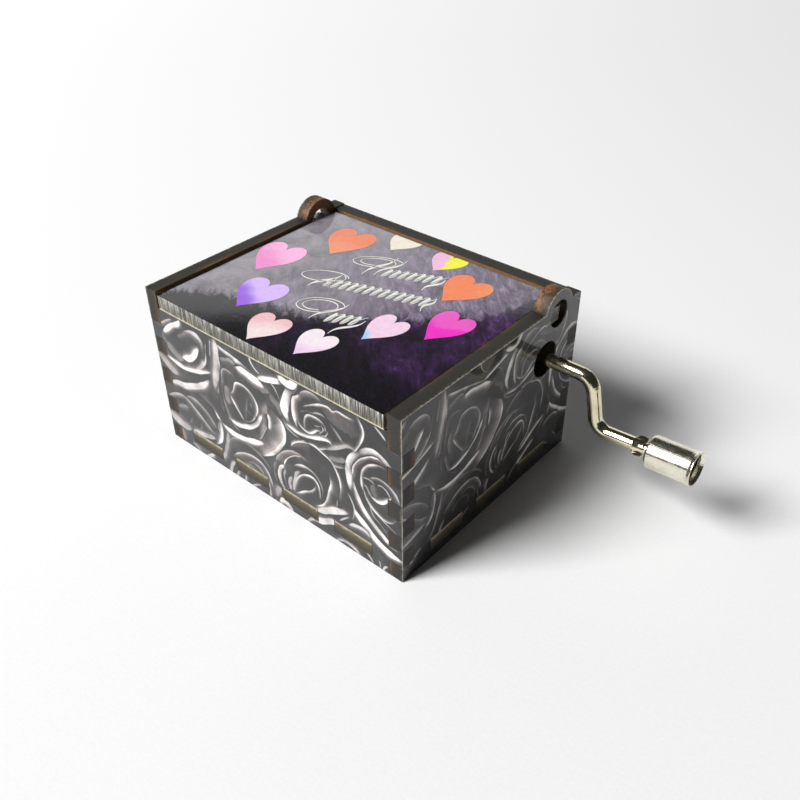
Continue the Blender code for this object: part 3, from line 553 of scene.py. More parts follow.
LEFT_ROSES = [
    (1.1, 0.95, -0.5, (-28.8, 27.2), (-27.2, 28.6), (-25.6, 29.9), (-23.6, 31), (-22.6, 32.2)),
    (0.45, 0.72, -0.6, (-30.4, 28.6), (-28.6, 29.4), (-27, 30.5), (-25.2, 31.5)),
    (0.8, 0.5, 0.9, (-28.9, 27.4), (-29, 26), (-28.2, 24.6)),
    (0.7, 0.55, -0.9, (-24.4, 27.9), (-22.6, 29), (-21.2, 30)),
    (0.9, 0.8, -0.8, (-22, 30), (-20, 30.8), (-18, 30.7), (-16.7, 29.6), (-16.3, 27.8), (-16.6, 25.8),
     (-17.6, 24.2), (-19.2, 22.8), (-20.8, 21.9)),
    (1.3, 1, -0.5, (-18, 27.9), (-19, 26.6), (-20.2, 25), (-21.8, 23.9), (-24, 23.4)),
    (1.6, 0.6, 0.8, (-28.2, 25.4), (-27, 24), (-25.4, 23), (-23.4, 22.9)),
    (0.9, 0.92, 0.5, (-29.4, 21.8), (-27, 21.3), (-24, 20.9), (-21, 21.5), (-18, 22.5), (-15, 23.7)),
    (1.4, 0.85, -0.5, (-29.6, 14.9), (-27.4, 15.9), (-24.6, 16.3), (-22.4, 17.2), (-19.8, 18.4),
     (-17.8, 19.8), (-16.2, 21.4)),
    (1.6, 0.65, 1.2, (-32.4, 21.4), (-30.4, 20.2), (-28.4, 18.8), (-26, 18.2)),
    (0.3, 0.65, 0, (-15.4, 30.6), (-15.8, 28.6), (-16.2, 26.6), (-17, 25)),
    (0.4, 0.7, 0.3, (-14, 31.6), (-14.4, 29.4), (-14.8, 27.2)),
    (1.6, 0.8, -0.7, (-12.7, 32.6), (-12.6, 30), (-12.9, 27.4), (-13.5, 24.6), (-14.1, 22.4), (-14.8, 20)),
    (0.3, 0.85, -0.8, (-11.8, 31.4), (-12.1, 28.4), (-12.2, 26.2), (-12.9, 23.8), (-13.5, 21.4),
     (-13.8, 19.2), (-14.1, 17)),
    (0.35, 0.7, 0.5, (-12.2, 22.6), (-12.7, 20.6), (-12.5, 18.4), (-12.1, 16.6)),
    (0.3, 0.6, 0.4, (-13.2, 19.8), (-13.4, 17.8), (-13, 15.4)),
]
MIDDLE_ROSES = [
    (0.3, 0.65, -0.5, (-10, 13.2), (-11.4, 15.2), (-12.2, 17.6), (-12.4, 20.4), (-12.2, 23.2), (-11.8, 25.6),
     (-10.8, 26.5), (-9.2, 26.4), (-7.6, 25.8)),
    (0.45, 0.85, -0.4, (-10.3, 21), (-9.2, 22.3), (-8.3, 24.3), (-7.2, 24.9), (-5.6, 24.9), (-3.9, 24.1),
     (-2.8, 22.6), (-2.6, 21), (-3.2, 19.4), (-4, 18.2)),
    (0.45, 0.85, 0.3, (-10.3, 21), (-9.4, 19.5), (-8.3, 17.9), (-7, 16.2)),
    (1, 1, 0.35, (-11.6, 14.7), (-9.6, 14.3), (-7.6, 14.7), (-5.4, 15.7), (-3.6, 17.2), (-2.4, 18.8),
     (-1.4, 20.6)),
    (0.25, 0.75, 0.3, (-6.9, 16.2), (-5.2, 17), (-4, 18.2), (-3.3, 19.6)),
    (0.3, 0.6, 0, (-5.8, 24.7), (-4.8, 23.3), (-4.4, 21.6), (-4.2, 20.6)),
    (0.25, 0.55, 0, (-5.2, 24.4), (-4.2, 23.2), (-3.7, 21.6)),
    (0.3, 0.55, -0.4, (-5.1, 22.4), (-5.7, 20.2), (-6.1, 18.2), (-6.5, 16.6)),
    (0.3, 0.55, 0, (-5.9, 19.5), (-5.2, 19.2), (-4.3, 18.5)),
    (1.3, 0.56, 0.8, (-10.9, 22.8), (-11.3, 20.6), (-11, 18.2)),
    (0.5, 0.52, 0.9, (-20.6, 16.4), (-18.2, 15.7), (-16.2, 14.7), (-15.3, 13), (-13.8, 12)),
    (1.2, 0.95, -0.5, (-14.4, 12.3), (-12.4, 11.5), (-10, 11.3), (-7.2, 11.7), (-4.4, 12.6), (-1.6, 13.7)),
    (0.3, 0.6, 0, (-11.2, 14.6), (-10, 13.4), (-8.7, 12.8)),
    (1.4, 0.6, -0.8, (0.1, 24), (-0.7, 21), (-0.8, 18.6), (-1.8, 15.8), (-3.2, 13.6)),
    (0.4, 0.72, -0.5, (-0.4, 18.4), (-1.4, 16.6), (-2.4, 14.8), (-3.1, 13.8)),
    (0.9, 1, -2.4, (2.6, 22.2), (3.8, 21.2), (4.2, 19.4), (3.9, 17.2), (2.8, 15.4), (1.4, 13.4), (-0.6, 11.6),
     (-2.6, 10.2)),
    (0.6, 0.9, 0.6, (0.1, 21.6), (0.4, 19.8), (0, 17.8)),
    (0.9, 0.95, -0.5, (-12.4, 31.3), (-9.6, 30.5), (-6.6, 29.9), (-4.2, 29.2), (-2, 28.7), (0.6, 28.7)),
    (0.8, 0.6, -0.7, (-12, 28.3), (-10.4, 28.8), (-8.8, 29.3), (-7.4, 28.9)),
    (1.5, 1, -0.8, (-7.6, 28.3), (-5.6, 28.5), (-3.6, 28.1), (-1.6, 27.8), (0.2, 27.2)),
    (0.4, 0.8, 0, (-3.4, 33.4), (-2.9, 31.6), (-1.9, 30.4), (-0.6, 29.8)),
    (1.1, 1, 0.3, (-1.8, 28.6), (0.2, 29.2), (2.4, 29.9), (4.6, 30.6), (7, 31.2)),
    (2, 1, 0.3, (9.4, 33.4), (7.8, 31.6), (6.7, 29.5), (5.8, 27.8), (5.1, 26), (4.9, 24.4), (5.6, 22.6)),
    (1.6, 1, 0.3, (4, 31.6), (6.4, 31), (8.6, 31.6)),
    (1.5, 0.52, 0.8, (0.8, 26.2), (2.2, 25.6), (3.4, 24.6), (3.8, 23)),
    (0.9, 0.55, 0.9, (-1.2, 26), (0.4, 26.7), (1.4, 26.9)),
]
CENTRE_ROSES = [
    (0.3, 0.75, 0, (1.6, 29.4), (2.8, 28.6), (3.6, 27.2), (4, 26)),
    (0.7, 0.9, 0.9, (9.2, 30.4), (8.6, 29.5), (7.6, 28.6), (7.2, 26.6), (7.3, 24.4), (7.9, 22.2)),
    (0.35, 0.75, -1.1, (8.9, 29.6), (9.5, 30.7), (10.8, 31.6), (12.4, 31.9), (13.8, 31.5), (14.8, 30.8)),
    (0.4, 0.88, -0.3, (9.4, 27.4), (10.2, 28.2), (11.4, 29), (12.8, 29.8), (14.4, 30.5), (16, 30.8),
     (17, 30.4), (18.2, 31), (20, 30.9), (21.9, 31)),
    (0.35, 0.78, -0.4, (8.7, 26), (9.6, 26.9), (10.8, 27.4), (12, 27.6), (13.2, 28.2), (14.6, 28.4),
     (16, 27.8), (17.4, 26.6), (18.4, 25.6), (19.2, 24.6)),
    (0.4, 0.82, -0.3, (9.8, 23), (9.8, 24.6), (10.2, 25.9), (11, 26.7), (12.2, 27), (13.6, 27), (14.7, 26.5),
     (15.3, 25.7)),
    (0.3, 0.75, 0, (12.2, 25.1), (13.1, 25.3), (13.9, 25.7), (14.3, 26.2)),
    (0.35, 0.85, 0, (14.9, 26.3), (15, 25.4), (14.7, 24.4), (14, 23.4)),
    (0.3, 0.8, 0, (14.1, 26), (14.5, 25.3), (14.1, 24.6), (13.2, 23.8)),
    (0.3, 0.75, 0, (15.1, 25.7), (15.5, 25.1), (15.2, 24.5), (14.6, 23.7)),
    (0.45, 0.88, 0.3, (7.9, 24.2), (8.8, 23.2), (10, 22.7), (11.1, 22.8), (12.1, 23.5), (13, 24.3),
     (14.1, 24.6)),
    (0.65, 0.95, 0.4, (4.5, 21.8), (6.2, 21.5), (8, 21.2), (10, 21.5), (12, 22.2), (14, 23), (15.6, 23.3),
     (16.7, 22.7)),
    (0.35, 0.75, 0.3, (4.2, 23.2), (4.8, 21.3), (6.4, 20.4), (8.4, 20.1), (10.6, 20.3), (13, 20.3),
     (14.4, 21), (16, 21.9)),
    (0.7, 0.72, 0.5, (14.8, 21.1), (16.4, 22.2), (18.2, 23.4), (20, 24.6), (22.2, 24.8)),
    (0.4, 0.9, -0.3, (22.4, 32.6), (23.4, 31), (23.9, 29.6), (23.6, 28), (22.9, 26.4), (22.1, 25),
     (21.3, 23.9)),
    (2.6, 0.46, 1.4, (14.6, 30), (17.6, 29), (20.6, 28.4), (21.4, 26.8)),
    (0.45, 0.8, 0, (26.2, 32.2), (27.6, 31.3), (28.8, 30.3)),
    (0.4, 0.88, 0.3, (5.2, 15.8), (6.2, 17.8), (8, 19.2), (10, 20), (12, 20.3), (14, 19.7), (15.8, 19),
     (17, 17.4), (17.7, 15.6), (17.8, 13.6), (17.4, 11.3)),
    (1.4, 0.5, -1.8, (5.6, 16.6), (6.8, 18.2), (9, 19.4), (11, 19.8)),
    (0.45, 0.7, -1, (0.8, 10.6), (1.6, 12.4), (3.4, 14.4), (5.4, 15.7), (7.4, 16.1), (10, 15.8)),
    (0.35, 0.85, 0, (3, 10.8), (3.8, 12.6), (5, 14), (6.6, 15.2), (8.4, 15.8)),
    (0.9, 0.88, 0.5, (3.2, 11.2), (2.1, 9.8), (1.5, 7.8), (1.9, 6), (2.8, 4.6)),
    (0.5, 0.7, 0.4, (3.4, 10.2), (2.9, 8.4), (3.3, 6.2), (3.8, 5.2)),
    (0.5, 0.82, -0.4, (5.6, 12.3), (7, 13.3), (8.8, 13.9), (10.6, 13.8), (12, 13), (12.9, 11.6), (13.1, 9.8),
     (12.7, 7.8)),
    (0.45, 0.92, -0.3, (6, 8), (6.6, 9.8), (8, 11.4), (9.6, 12.2), (11, 12.3), (12, 11.4), (12.4, 10),
     (12.4, 7.8)),
    (0.8, 0.75, 0.6, (7.5, 12), (6.4, 10.9), (6, 9.2), (5.4, 7.2), (5.2, 5.8)),
    (0.4, 0.85, 0.3, (11.4, 10.9), (11, 9.8), (10, 8.6), (8.4, 7.6), (6.8, 6.4), (5.8, 5.8)),
    (0.7, 0.72, 0.5, (5, 9.4), (4.2, 7.6), (4.4, 5.6)),
    (0.45, 0.88, 0.6, (15.2, 15.2), (15.4, 13.4), (14.8, 11.4), (14.1, 9), (12.9, 6.9), (11, 5.6)),
    (1.5, 0.85, 0.4, (10.8, 4.4), (12.8, 5.4), (15, 6.8), (17.2, 8), (19.4, 8.8)),
    (0.3, 0.62, 0, (16.5, 8.6), (16.7, 9.6), (16.8, 10.7)),
    (0.4, 0.75, 0, (17, 5.6), (18.4, 7), (20, 8.4)),
    (1.4, 0.85, 0.4, (10.4, 1.6), (12.6, 2.6), (14.6, 3.8), (16.4, 4.6)),
    (0.7, 0.78, -0.5, (19.2, 6), (21, 6.9), (23.2, 7.1), (24.8, 6.2)),
    (1.1, 0.8, -0.6, (0.6, 0.2), (1.8, 1.4), (3.4, 0.8), (4.6, -0.8)),
    (0.6, 0.72, -0.4, (8, -0.6), (9.4, 1.2), (11.2, 2.2)),
    (0.6, 0.75, 0.4, (15.6, -0.2), (18, 1), (20.6, 0.7), (22.2, -0.4)),
]
RIGHT_ROSES = [
    (1.8, 1, 0.5, (29.8, 25.2), (28.2, 26), (26.4, 26.3), (24.8, 25.9), (23.4, 24.8), (21.6, 23.2),
     (20.5, 21.4), (20.1, 19.4), (20, 17.4), (20.2, 15.2)),
    (1.4, 0.58, 0.9, (28.8, 25), (26.6, 25.2), (24.4, 24), (22.6, 22.2), (21.4, 20), (21.2, 18)),
    (0.45, 0.85, 0.3, (29, 24.3), (27.4, 24.4), (25.8, 23.8), (24.4, 22.8), (23.4, 21.4), (23, 20), (23, 18),
     (23.6, 16), (24.8, 14.4), (26.6, 13), (28.4, 12.6), (29.8, 13), (30.8, 14.2)),
    (0.35, 0.7, 0, (23.2, 19.6), (24.5, 20), (25.6, 19.8), (26.1, 19.2)),
    (0.6, 0.9, 0.5, (23.4, 18.4), (24.3, 17.7), (25.2, 16.5), (26.5, 16), (27.8, 16.5), (28.8, 17.6),
     (29.8, 18.8)),
    (0.4, 0.75, -0.4, (24.9, 20.4), (26.2, 21.2), (27.6, 21.4), (29.2, 21), (30.6, 20), (31.7, 18.2)),
    (0.35, 0.72, 0, (26.4, 19.6), (27.4, 20.1), (28.6, 19.7), (29.6, 18.4)),
    (1.2, 0.52, 0.6, (25.8, 19.4), (25.6, 18), (26.4, 16.8)),
    (1, 0.92, -0.5, (21, 17.4), (21.7, 15.2), (22.6, 13.2), (23.8, 11.6), (25.4, 10.2), (27.2, 8.9),
     (29, 7.7), (31, 6.8)),
    (0.4, 0.8, 0, (23.3, 17.6), (24, 15.2), (25.6, 13.5), (27.8, 12.3), (30.8, 11)),
    (0.35, 0.65, 0, (24.6, 14.2), (25.4, 12.2), (26.8, 11.2), (28.6, 9.8)),
    (1.4, 1, -0.4, (20.6, 11.4), (21.6, 10), (23.2, 8.6), (25, 7.2), (27, 6), (29.4, 5.2), (32.2, 5)),
    (0.35, 0.8, 0, (19.4, 14), (20.2, 12.9), (20.9, 11.2), (20.8, 9.4), (20.3, 7.6)),
    (1, 0.6, 0.5, (15.2, 19.6), (17, 20), (18.4, 20.6), (19.5, 21.3)),
    (0.35, 0.7, 0.5, (15.6, 19.4), (16.8, 18.5), (19.3, 19.3)),
    (0.5, 0.7, 0, (23.4, 2), (24.6, 0.8), (25.4, -0.6)),
    (0.5, 0.8, 0, (26.5, 1.8), (26.8, 0.8), (26.7, -0.6)),
    (0.5, 0.75, 0, (28.6, 1.6), (27.8, 0.8), (27.2, -0.6)),
    (0.5, 0.6, 0.8, (24.4, 33), (26, 34.6), (28.6, 35.2)),
]
LOW_ROSES = [
    (0.4, 0.62, -0.6, (-13.2, 7.8), (-12.2, 9.2), (-10.6, 10.3), (-8.6, 10.8), (-6.4, 10.7), (-4.2, 10.1),
     (-2.2, 9), (-0.8, 7.4), (0, 5.4)),
    (0.5, 0.8, -0.6, (-12, 5.2), (-10.4, 6.6), (-8.2, 7.7), (-5.8, 8.2), (-3.6, 7.9), (-2.2, 6.8),
     (-1.3, 5.2), (-0.8, 3)),
    (0.8, 0.6, 0.8, (1.4, 11.2), (0.5, 9.6), (0.3, 7.4), (0.6, 5.2)),
    (1.5, 0.72, -0.8, (1.4, 4.6), (0.6, 3), (0.9, 1.2)),
    (0.9, 0.7, 0.6, (-12.8, 11.2), (-13.2, 8.6), (-14, 6.2), (-14.9, 3.8), (-16.4, 1.8)),
    (0.8, 0.8, -0.4, (-11.8, 3.6), (-13, 2), (-13.9, -0.6)),
    (0.6, 0.7, 0.3, (-10.9, 1.8), (-12.2, -0.6)),
    (0.5, 0.72, 0.3, (-8.9, 1.8), (-9.5, -0.6)),
    (0.5, 0.72, 0.3, (-4.6, 1.6), (-6, 0.8), (-7.6, -0.4)),
    (0.5, 0.72, 0.3, (-2.2, 4.2), (-1.8, 2.2), (-2, 0)),
    (0.3, 0.6, 0.5, (-7.6, 5.6), (-6, 6.4), (-4.2, 6), (-3, 4.4), (-3.4, 2.8)),
    (0.3, 0.55, 0.4, (-9.6, 3.2), (-8.4, 4.8), (-6.6, 5.2), (-5, 4.2), (-5.4, 2.8)),
    (0.6, 0.7, -0.8, (-32.4, 10), (-30.4, 11.5), (-28.2, 12.6), (-26, 13.1), (-24, 12.4), (-22, 11),
     (-20, 9.6), (-18.4, 8.4), (-16.8, 8)),
    (0.7, 0.64, -0.8, (-25.2, 13.4), (-23.6, 14), (-21.8, 13.9), (-20, 13.2), (-18, 11.8), (-16.6, 10.2),
     (-15.9, 9)),
    (0.8, 0.85, -0.5, (-16.2, 14.6), (-15, 12.6), (-14.7, 10.6), (-15, 8.4), (-15.8, 6.6), (-17.2, 5.2)),
    (0.3, 0.65, 0.3, (-15.4, 12.2), (-15.7, 10.6), (-15.5, 9)),
    (1.2, 0.75, 0.6, (-24.8, 5), (-22, 5.4), (-19.6, 6), (-17.2, 6.6)),
    (1.9, 0.7, 1, (-32.4, 6.6), (-30, 5.3), (-27.4, 4.8), (-25, 5)),
    (0.8, 0.58, -0.7, (-28.6, 9.3), (-26.8, 10.3), (-24.8, 10.8)),
    (0.5, 0.5, 0.5, (-24.2, 8.6), (-24.8, 7.4), (-25.8, 6.4)),
    (0.5, 0.5, 0.6, (-21.2, 8.8), (-21.4, 7.6), (-22.2, 6.4)),
    (0.7, 0.75, -0.5, (-21.6, -0.4), (-20.2, 0.6), (-18.4, 1.8)),
    (1.1, 0.56, 0.6, (-29.6, 3.4), (-28.6, 2.2), (-28.2, 0.4)),
    (0.6, 0.6, 0.6, (-25.8, 1.2), (-24, 0.6), (-22.8, -0.6)),
]
PAPER = [Stroke(width, light, fade, points) for width, light, fade, *points in
         LEFT_ROSES + LOW_ROSES + MIDDLE_ROSES + RIGHT_ROSES + CENTRE_ROSES]


class Print:
    """Tone and warmth of the print on a face's grid."""

    def __init__(self, a_lines, b_lines):
        self.a, self.b = a_lines, b_lines
        self.tone = np.full((len(a_lines), len(b_lines)), PAPER_TONE)
        self.warm = np.zeros_like(self.tone)

    def window(self, low, high):
        a0, a1 = np.searchsorted(self.a, (low[0], high[0]))
        b0, b1 = np.searchsorted(self.b, (low[1], high[1]))
        return slice(a0, a1), slice(b0, b1)


def curve_through(points):
    """A smooth curve through the points, as points no further apart than about PRINT_STEP."""
    points = [np.array(p) for p in points]
    padded = [2 * points[0] - points[1], *points, 2 * points[-1] - points[-2]]
    line = []
    for before, start, end, after in zip(padded, padded[1:], padded[2:], padded[3:]):
        steps = ceil(np.linalg.norm(end - start) / PRINT_STEP)
        for t in np.arange(steps) / steps:
            line.append(0.5 * (2 * start + (end - before) * t
                               + (2 * before - 5 * start + 4 * end - after) * t ** 2
                               + (3 * start - before - 3 * end + after) * t ** 3))
    return np.array([*line, points[-1]])


def paint_stroke(sheet, rng, line, rim):
    """A bright rim along the line, its light side fading off, and a shadow on the petal beyond it."""
    fade = abs(rim.fade)
    reach = rim.width / 2 + max(3 * fade, SHADE_REACH)
    part = sheet.window(line.min(0) - reach, line.max(0) + reach)
    a, b = np.meshgrid(sheet.a[part[0]], sheet.b[part[1]], indexing="ij")
    if not a.size:
        return
    nearest = np.full(a.shape, np.inf)
    pick = np.zeros(a.shape, int)
    for number, (x, y) in enumerate(line):
        away = np.hypot(a - x, b - y)
        closer = away < nearest
        nearest[closer], pick[closer] = away[closer], number
    way = np.gradient(line, axis=0)
    way /= np.linalg.norm(way, axis=1)[:, None]
    across = way[pick, 0] * (b - line[pick, 1]) - way[pick, 1] * (a - line[pick, 0])
    light_side = across * (1 if rim.fade >= 0 else -1) > 0
    taper = np.sin(pi * pick / (len(line) - 1))
    wobble = np.sin(pick * 0.11 + rng.uniform(0, 6)) + 0.5 * np.sin(pick * 0.23 + rng.uniform(0, 6))
    share = FINE_HALF if rim.width < FINE_RIM else FULL_HALF
    half = share * rim.width * (END_WIDTH + (1 - END_WIDTH) * np.clip(taper * 1.5, 0, 1)) + WOBBLE * wobble
    light = (rim.light - PAPER_TONE) * np.clip(END_LIGHT + 2.4 * taper, 0, 1) * (0.94 + WOBBLE_LIGHT * wobble)
    past = nearest - half
    core = np.clip(0.5 - past / EDGE_SOFTNESS, 0, 1)
    past = np.clip(past, 0, None)
    glow = GLOW * np.exp(-past / (GLOW_REACH * max(fade, 0.01))) * light_side * (fade > 0)
    shade = SHADE * np.exp(-past / SHADE_DECAY) * ~light_side * np.clip(2 * taper, 0, 1)
    tone = sheet.tone[part] * (1 - shade * (core < 1))
    sheet.tone[part] = np.maximum(tone, PAPER_TONE + light * np.maximum(core, glow))
    sheet.warm[part] = np.maximum(sheet.warm[part], np.clip(1.5 * glow, 0, 1) * min(1.0, fade))


def paper_painter(seed, shift, slim=1.0):
    """A function that paints a face with the rose paper, moved by the shift, its rims' widths times slim."""

    def paint(a_lines, b_lines):
        rng = np.random.default_rng(seed)
        sheet = Print(a_lines, b_lines)
        for rim in PAPER:
            rim = rim._replace(width=rim.width * slim)
            paint_stroke(sheet, rng, curve_through(rim.points) + np.array(shift), rim)
        return sheet.tone, sheet.warm

    return paint


# ---------------------------------------------------------------- the case


def tab_centres(count):
    return [(i - (count - 1) / 2) * TAB_PITCH for i in range(count)]


def finger_cuts():
    return [n * FINGER + side * KERF / 2 for n in range(1, 9) for side in (-1, 1)]


def slot_cuts(count):
    across = [c + side * (TAB_WIDTH / 2 + KERF) for c in tab_centres(count) for side in (-1, 1)]
    return across, [PANEL_Z - KERF, PANEL_Z + BOARD + KERF]


def in_slot(a, b, count):
    found = np.zeros(a.shape, bool)
    for centre in tab_centres(count):
        found |= np.abs(a - centre) < TAB_WIDTH / 2 + KERF
    return found & (b > PANEL_Z - KERF) & (b < PANEL_Z + BOARD + KERF)


def own_finger(b, even):
    """Where a wall's finger reaches the corner. The two top fingers count as one."""
    number = np.minimum(b // FINGER, 8)
    own = (number % 2 == 0) == even
    gap = np.abs(b - np.round(b / FINGER) * FINGER) < KERF / 2
    joint = gap & (np.round(b / FINGER) <= 8) & (b > KERF)
    return own & ~joint


def long_wall(name, way, top, painter, looks):
    """The front wall with way -1, or the back wall with way +1."""
    across, heights = slot_cuts(4)
    a_lines = grid_lines(-HALF_X, HALF_X, [-INNER_X + KERF, INNER_X - KERF, *across], PRINT_STEP)
    b_lines = grid_lines(0.0, top, [*finger_cuts(), *heights], PRINT_STEP)

    def inside(a, b):
        limit = np.where(own_finger(b, even=False), HALF_X, INNER_X - KERF)
        return (np.abs(a) < limit) & ~in_slot(a, b, 4)

    def place(a, b, depth):
        return (-way * a, way * (HALF_Y - depth), b)

    return board(name, a_lines, b_lines, inside, [], place, looks, painter)


def side_wall(name, way, painter, looks):
    """The left wall with way -1, or the right wall, which has the crank's hole, with way +1."""
    hinge = way * HINGE_Y
    across, heights = slot_cuts(3)
    a_lines = grid_lines(-HALF_Y, HALF_Y, [-INNER_Y + KERF, INNER_Y - KERF, *across], PRINT_STEP)
    b_lines = grid_lines(0.0, EAR_Z + EAR_R, [*finger_cuts(), *heights, HEIGHT], PRINT_STEP)
    rounds = [(hinge, HINGE_HOLE_Z, HINGE_HOLE_R, 0), (hinge, EAR_Z, EAR_R, HEIGHT + PRINT_STEP / 2)]
    if way > 0:
        rounds.append((SHAFT_Y, CRANK_HOLE_Z, CRANK_HOLE_R, 0))

    def inside(a, b):
        limit = np.where(own_finger(b, even=True), HALF_Y, INNER_Y - KERF)
        ear = np.hypot(a - hinge, b - EAR_Z) < EAR_R
        solid = (np.abs(a) < limit) & ((b < HEIGHT) | ear) & ~in_slot(a, b, 3)
        solid &= np.hypot(a - hinge, b - HINGE_HOLE_Z) > HINGE_HOLE_R
        if way > 0:
            solid &= np.hypot(a - SHAFT_Y, b - CRANK_HOLE_Z) > CRANK_HOLE_R
        return solid

    def place(a, b, depth):
        return (way * (HALF_X - depth), way * a, b)

    return board(name, a_lines, b_lines, inside, rounds, place, looks, painter)


def make_case():
    looks = [rose_print(), cut_edge(), fibreboard("fibreboard")]
    front_top = LID_Z - KERF
    walls = {
        "front_wall": long_wall("front_board", -1, front_top, paper_painter(3, (0, 0)), looks),
        "back_wall": long_wall("back_board", 1, HEIGHT - 0.2, paper_painter(11, (0.8, 2.6)), looks),
        "left_wall": side_wall("left_board", -1, paper_painter(23, (5.6, 2.2)), looks),
        "right_wall": side_wall("right_board", 1, paper_painter(37, (-2.4, 3.3), 0.5), looks),
    }
    for cad_name, wall in walls.items():
        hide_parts(cad_name)
        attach(wall, "case")


# ---------------------------------------------------------------- the lid


def make_lid():
    near, far = HINGE_Y - TENON_WIDTH / 2, HINGE_Y + TENON_WIDTH / 2
    a_lines = grid_lines(-TENON_REACH, TENON_REACH, [-LID_HALF_X, LID_HALF_X], 1.0)
    b_lines = grid_lines(-HALF_Y, LID_BACK_Y, [near, far], 1.0)

    def inside(a, b):
        tenon = (b > near) & (b < far)
        return (np.abs(a) < LID_HALF_X) | tenon

    def place(a, b, depth):
        return (a, b, LID_TOP - depth)

    looks = [watercolour(), lid_edge(), fibreboard("lid_back")]
    made = board("lid_board", a_lines, b_lines, inside, [], place, looks)
    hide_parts("lid")
    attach(made, "lid")


Heart = namedtuple("Heart", "tip cleft wide first second turn edge soft")
INK = 0.025  # how far the ink stands above the lid
CLEFT = 0.80  # the cleft's height, as a share of the lobes' height

HEARTS = [  # tip and cleft (x, y), width, two tints, the way from the first to the second, where, how soft
    Heart((-21.9, -7.2), (-23.3, 2.5), 0.90, srgb(238, 140, 204), srgb(252, 182, 226), 60, 0.45, 0.5),
    Heart((-15.2, 6.9), (-16.6, 16.2), 0.94, srgb(242, 148, 108), srgb(240, 130, 86), 90, 0.5, 0.6),
    Heart((-7.0, 16.1), (-7.0, 22.4), 1.00, srgb(242, 232, 216), srgb(244, 218, 200), 0, 0.7, 0.6),
    Heart((5.1, 14.9), (5.1, 21.4), 1.03, srgb(242, 186, 222), srgb(246, 244, 30), 15, 0.17, 0.16),
    Heart((13.7, 6.8), (14.5, 15.5), 0.96, srgb(244, 128, 74), srgb(242, 144, 82), 20, 0.5, 0.7),
    Heart((19.6, -5.4), (20.2, 3.2), 0.82, srgb(244, 36, 196), srgb(240, 88, 200), 100, 0.52, 0.12),
    Heart((11.2, -12.3), (12.1, -4.7), 0.82, srgb(160, 210, 246), srgb(248, 212, 234), 75, 0.16, 0.22),
    Heart((5.5, -23.1), (5.7, -16.2), 0.92, srgb(240, 210, 240), srgb(250, 236, 244), 110, 0.35, 0.5),
    Heart((-4.1, -25.1), (-4.8, -17.9), 0.99, srgb(248, 228, 226), srgb(242, 190, 196), 110, 0.6, 0.5),
    Heart((-14.0, -18.9), (-14.9, -10.1), 0.985, srgb(152, 92, 226), srgb(214, 184, 248), 60, 0.36, 0.35),
]


def cubic(p0, p1, p2, p3, steps):
    points = []
    for i in range(steps):
        t = i / steps
        weights = ((1 - t) ** 3, 3 * t * (1 - t) ** 2, 3 * t * t * (1 - t), t ** 3)
        points.append(tuple(sum(w * p[k] for w, p in zip(weights, (p0, p1, p2, p3))) for k in (0, 1)))
    return points


def heart_outline():
    """A heart one unit tall to its lobes, from its tip at (0, 0) up its right side and down its left."""
    right = cubic((0, 0), (0.11, 0.20), (0.42, 0.38), (0.45, 0.70), 14)
    right += cubic((0.45, 0.70), (0.47, 1.02), (0.10, 1.13), (0, CLEFT), 14)
    return right + [(0, CLEFT)] + [(-x, y) for x, y in reversed(right[1:])]


def smooth(value):
    value = min(1, max(0, value))
    return value * value * (3 - 2 * value)


def heart_tint(heart, u, v):
    """The tint at (u, v) of the heart, with a soft irregular border between its two tints."""
    way = radians(heart.turn)
    wander = 0.05 * sin(7 * u + 3 * v + heart.tip[0]) + 0.03 * sin(15 * v - 9 * u)
    share = smooth((u * cos(way) + v * sin(way) + wander - heart.edge) / heart.soft + 0.5)
    return [a + (b - a) * share for a, b in zip(heart.first, heart.second)]


def make_hearts():
    """All ten hearts as thin raised bodies, in rings from the middle to the outline."""
    outline, middle = heart_outline(), 0.56
    count, rings = len(outline), 7
    points, faces, tints = [], [], []
    for heart in HEARTS:
        tip, cleft = Vector(heart.tip), Vector(heart.cleft)
        up = (cleft - tip) / CLEFT
        side = Vector((up.y, -up.x)) * heart.wide
        start = len(points)
        levels = [(ring / rings, LID_TOP + INK) for ring in range(1, rings + 1)] + [(1.0, LID_TOP - INK)]
        for share, z in levels:
            for u, v in outline:
                u, v = u * share, middle + (v - middle) * share
                flat = tip + side * u + up * v
                points.append((flat.x, min(flat.y, LID_BACK_Y - 0.04), z))
                tints.append(heart_tint(heart, u, v))
        faces.append(range(start, start + count))
        for ring in range(len(levels) - 1):
            low = start + ring * count
            for i in range(count):
                j = (i + 1) % count
                faces.append((low + i, low + count + i, low + count + j, low + j))
        faces.append(range(start + len(levels) * count - 1, start + (len(levels) - 1) * count - 1, -1))
    mesh = mesh_of("lid_hearts", points, faces)
    colours = np.concatenate([np.array(tints), np.ones((len(tints), 1))], 1).astype(np.float32)
    mesh.attributes.new("tint", "FLOAT_COLOR", "POINT").data.foreach_set("color", colours.ravel())
    made = add_object("lid_hearts", mesh, [paper_print()])
    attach(made, "lid")


def add_stroke(points, faces, line, widths):
    """A thin raised ribbon along a flat line, tapering to its ends."""
    start = len(points)
    last = len(line) - 1
    for n, (here, width) in enumerate(zip(line, widths)):
        way = (line[min(n + 1, last)] - line[max(n - 1, 0)]).normalized()
        side = Vector((-way.y, way.x)) * width / 2
        left, right = here - side, here + side
        for flat, rise in ((left, -INK), (left, INK), (right, INK), (right, -INK)):
            points.append((flat.x, flat.y, LID_TOP + rise))
    for n in range(last):
        a, b = start + 4 * n, start + 4 * (n + 1)
        for i in range(4):
            j = (i + 1) % 4
            faces.append((a + i, b + i, b + j, a + j))
    faces.append((start, start + 1, start + 2, start + 3))
    end = start + 4 * last
    faces.append((end + 3, end + 2, end + 1, end))


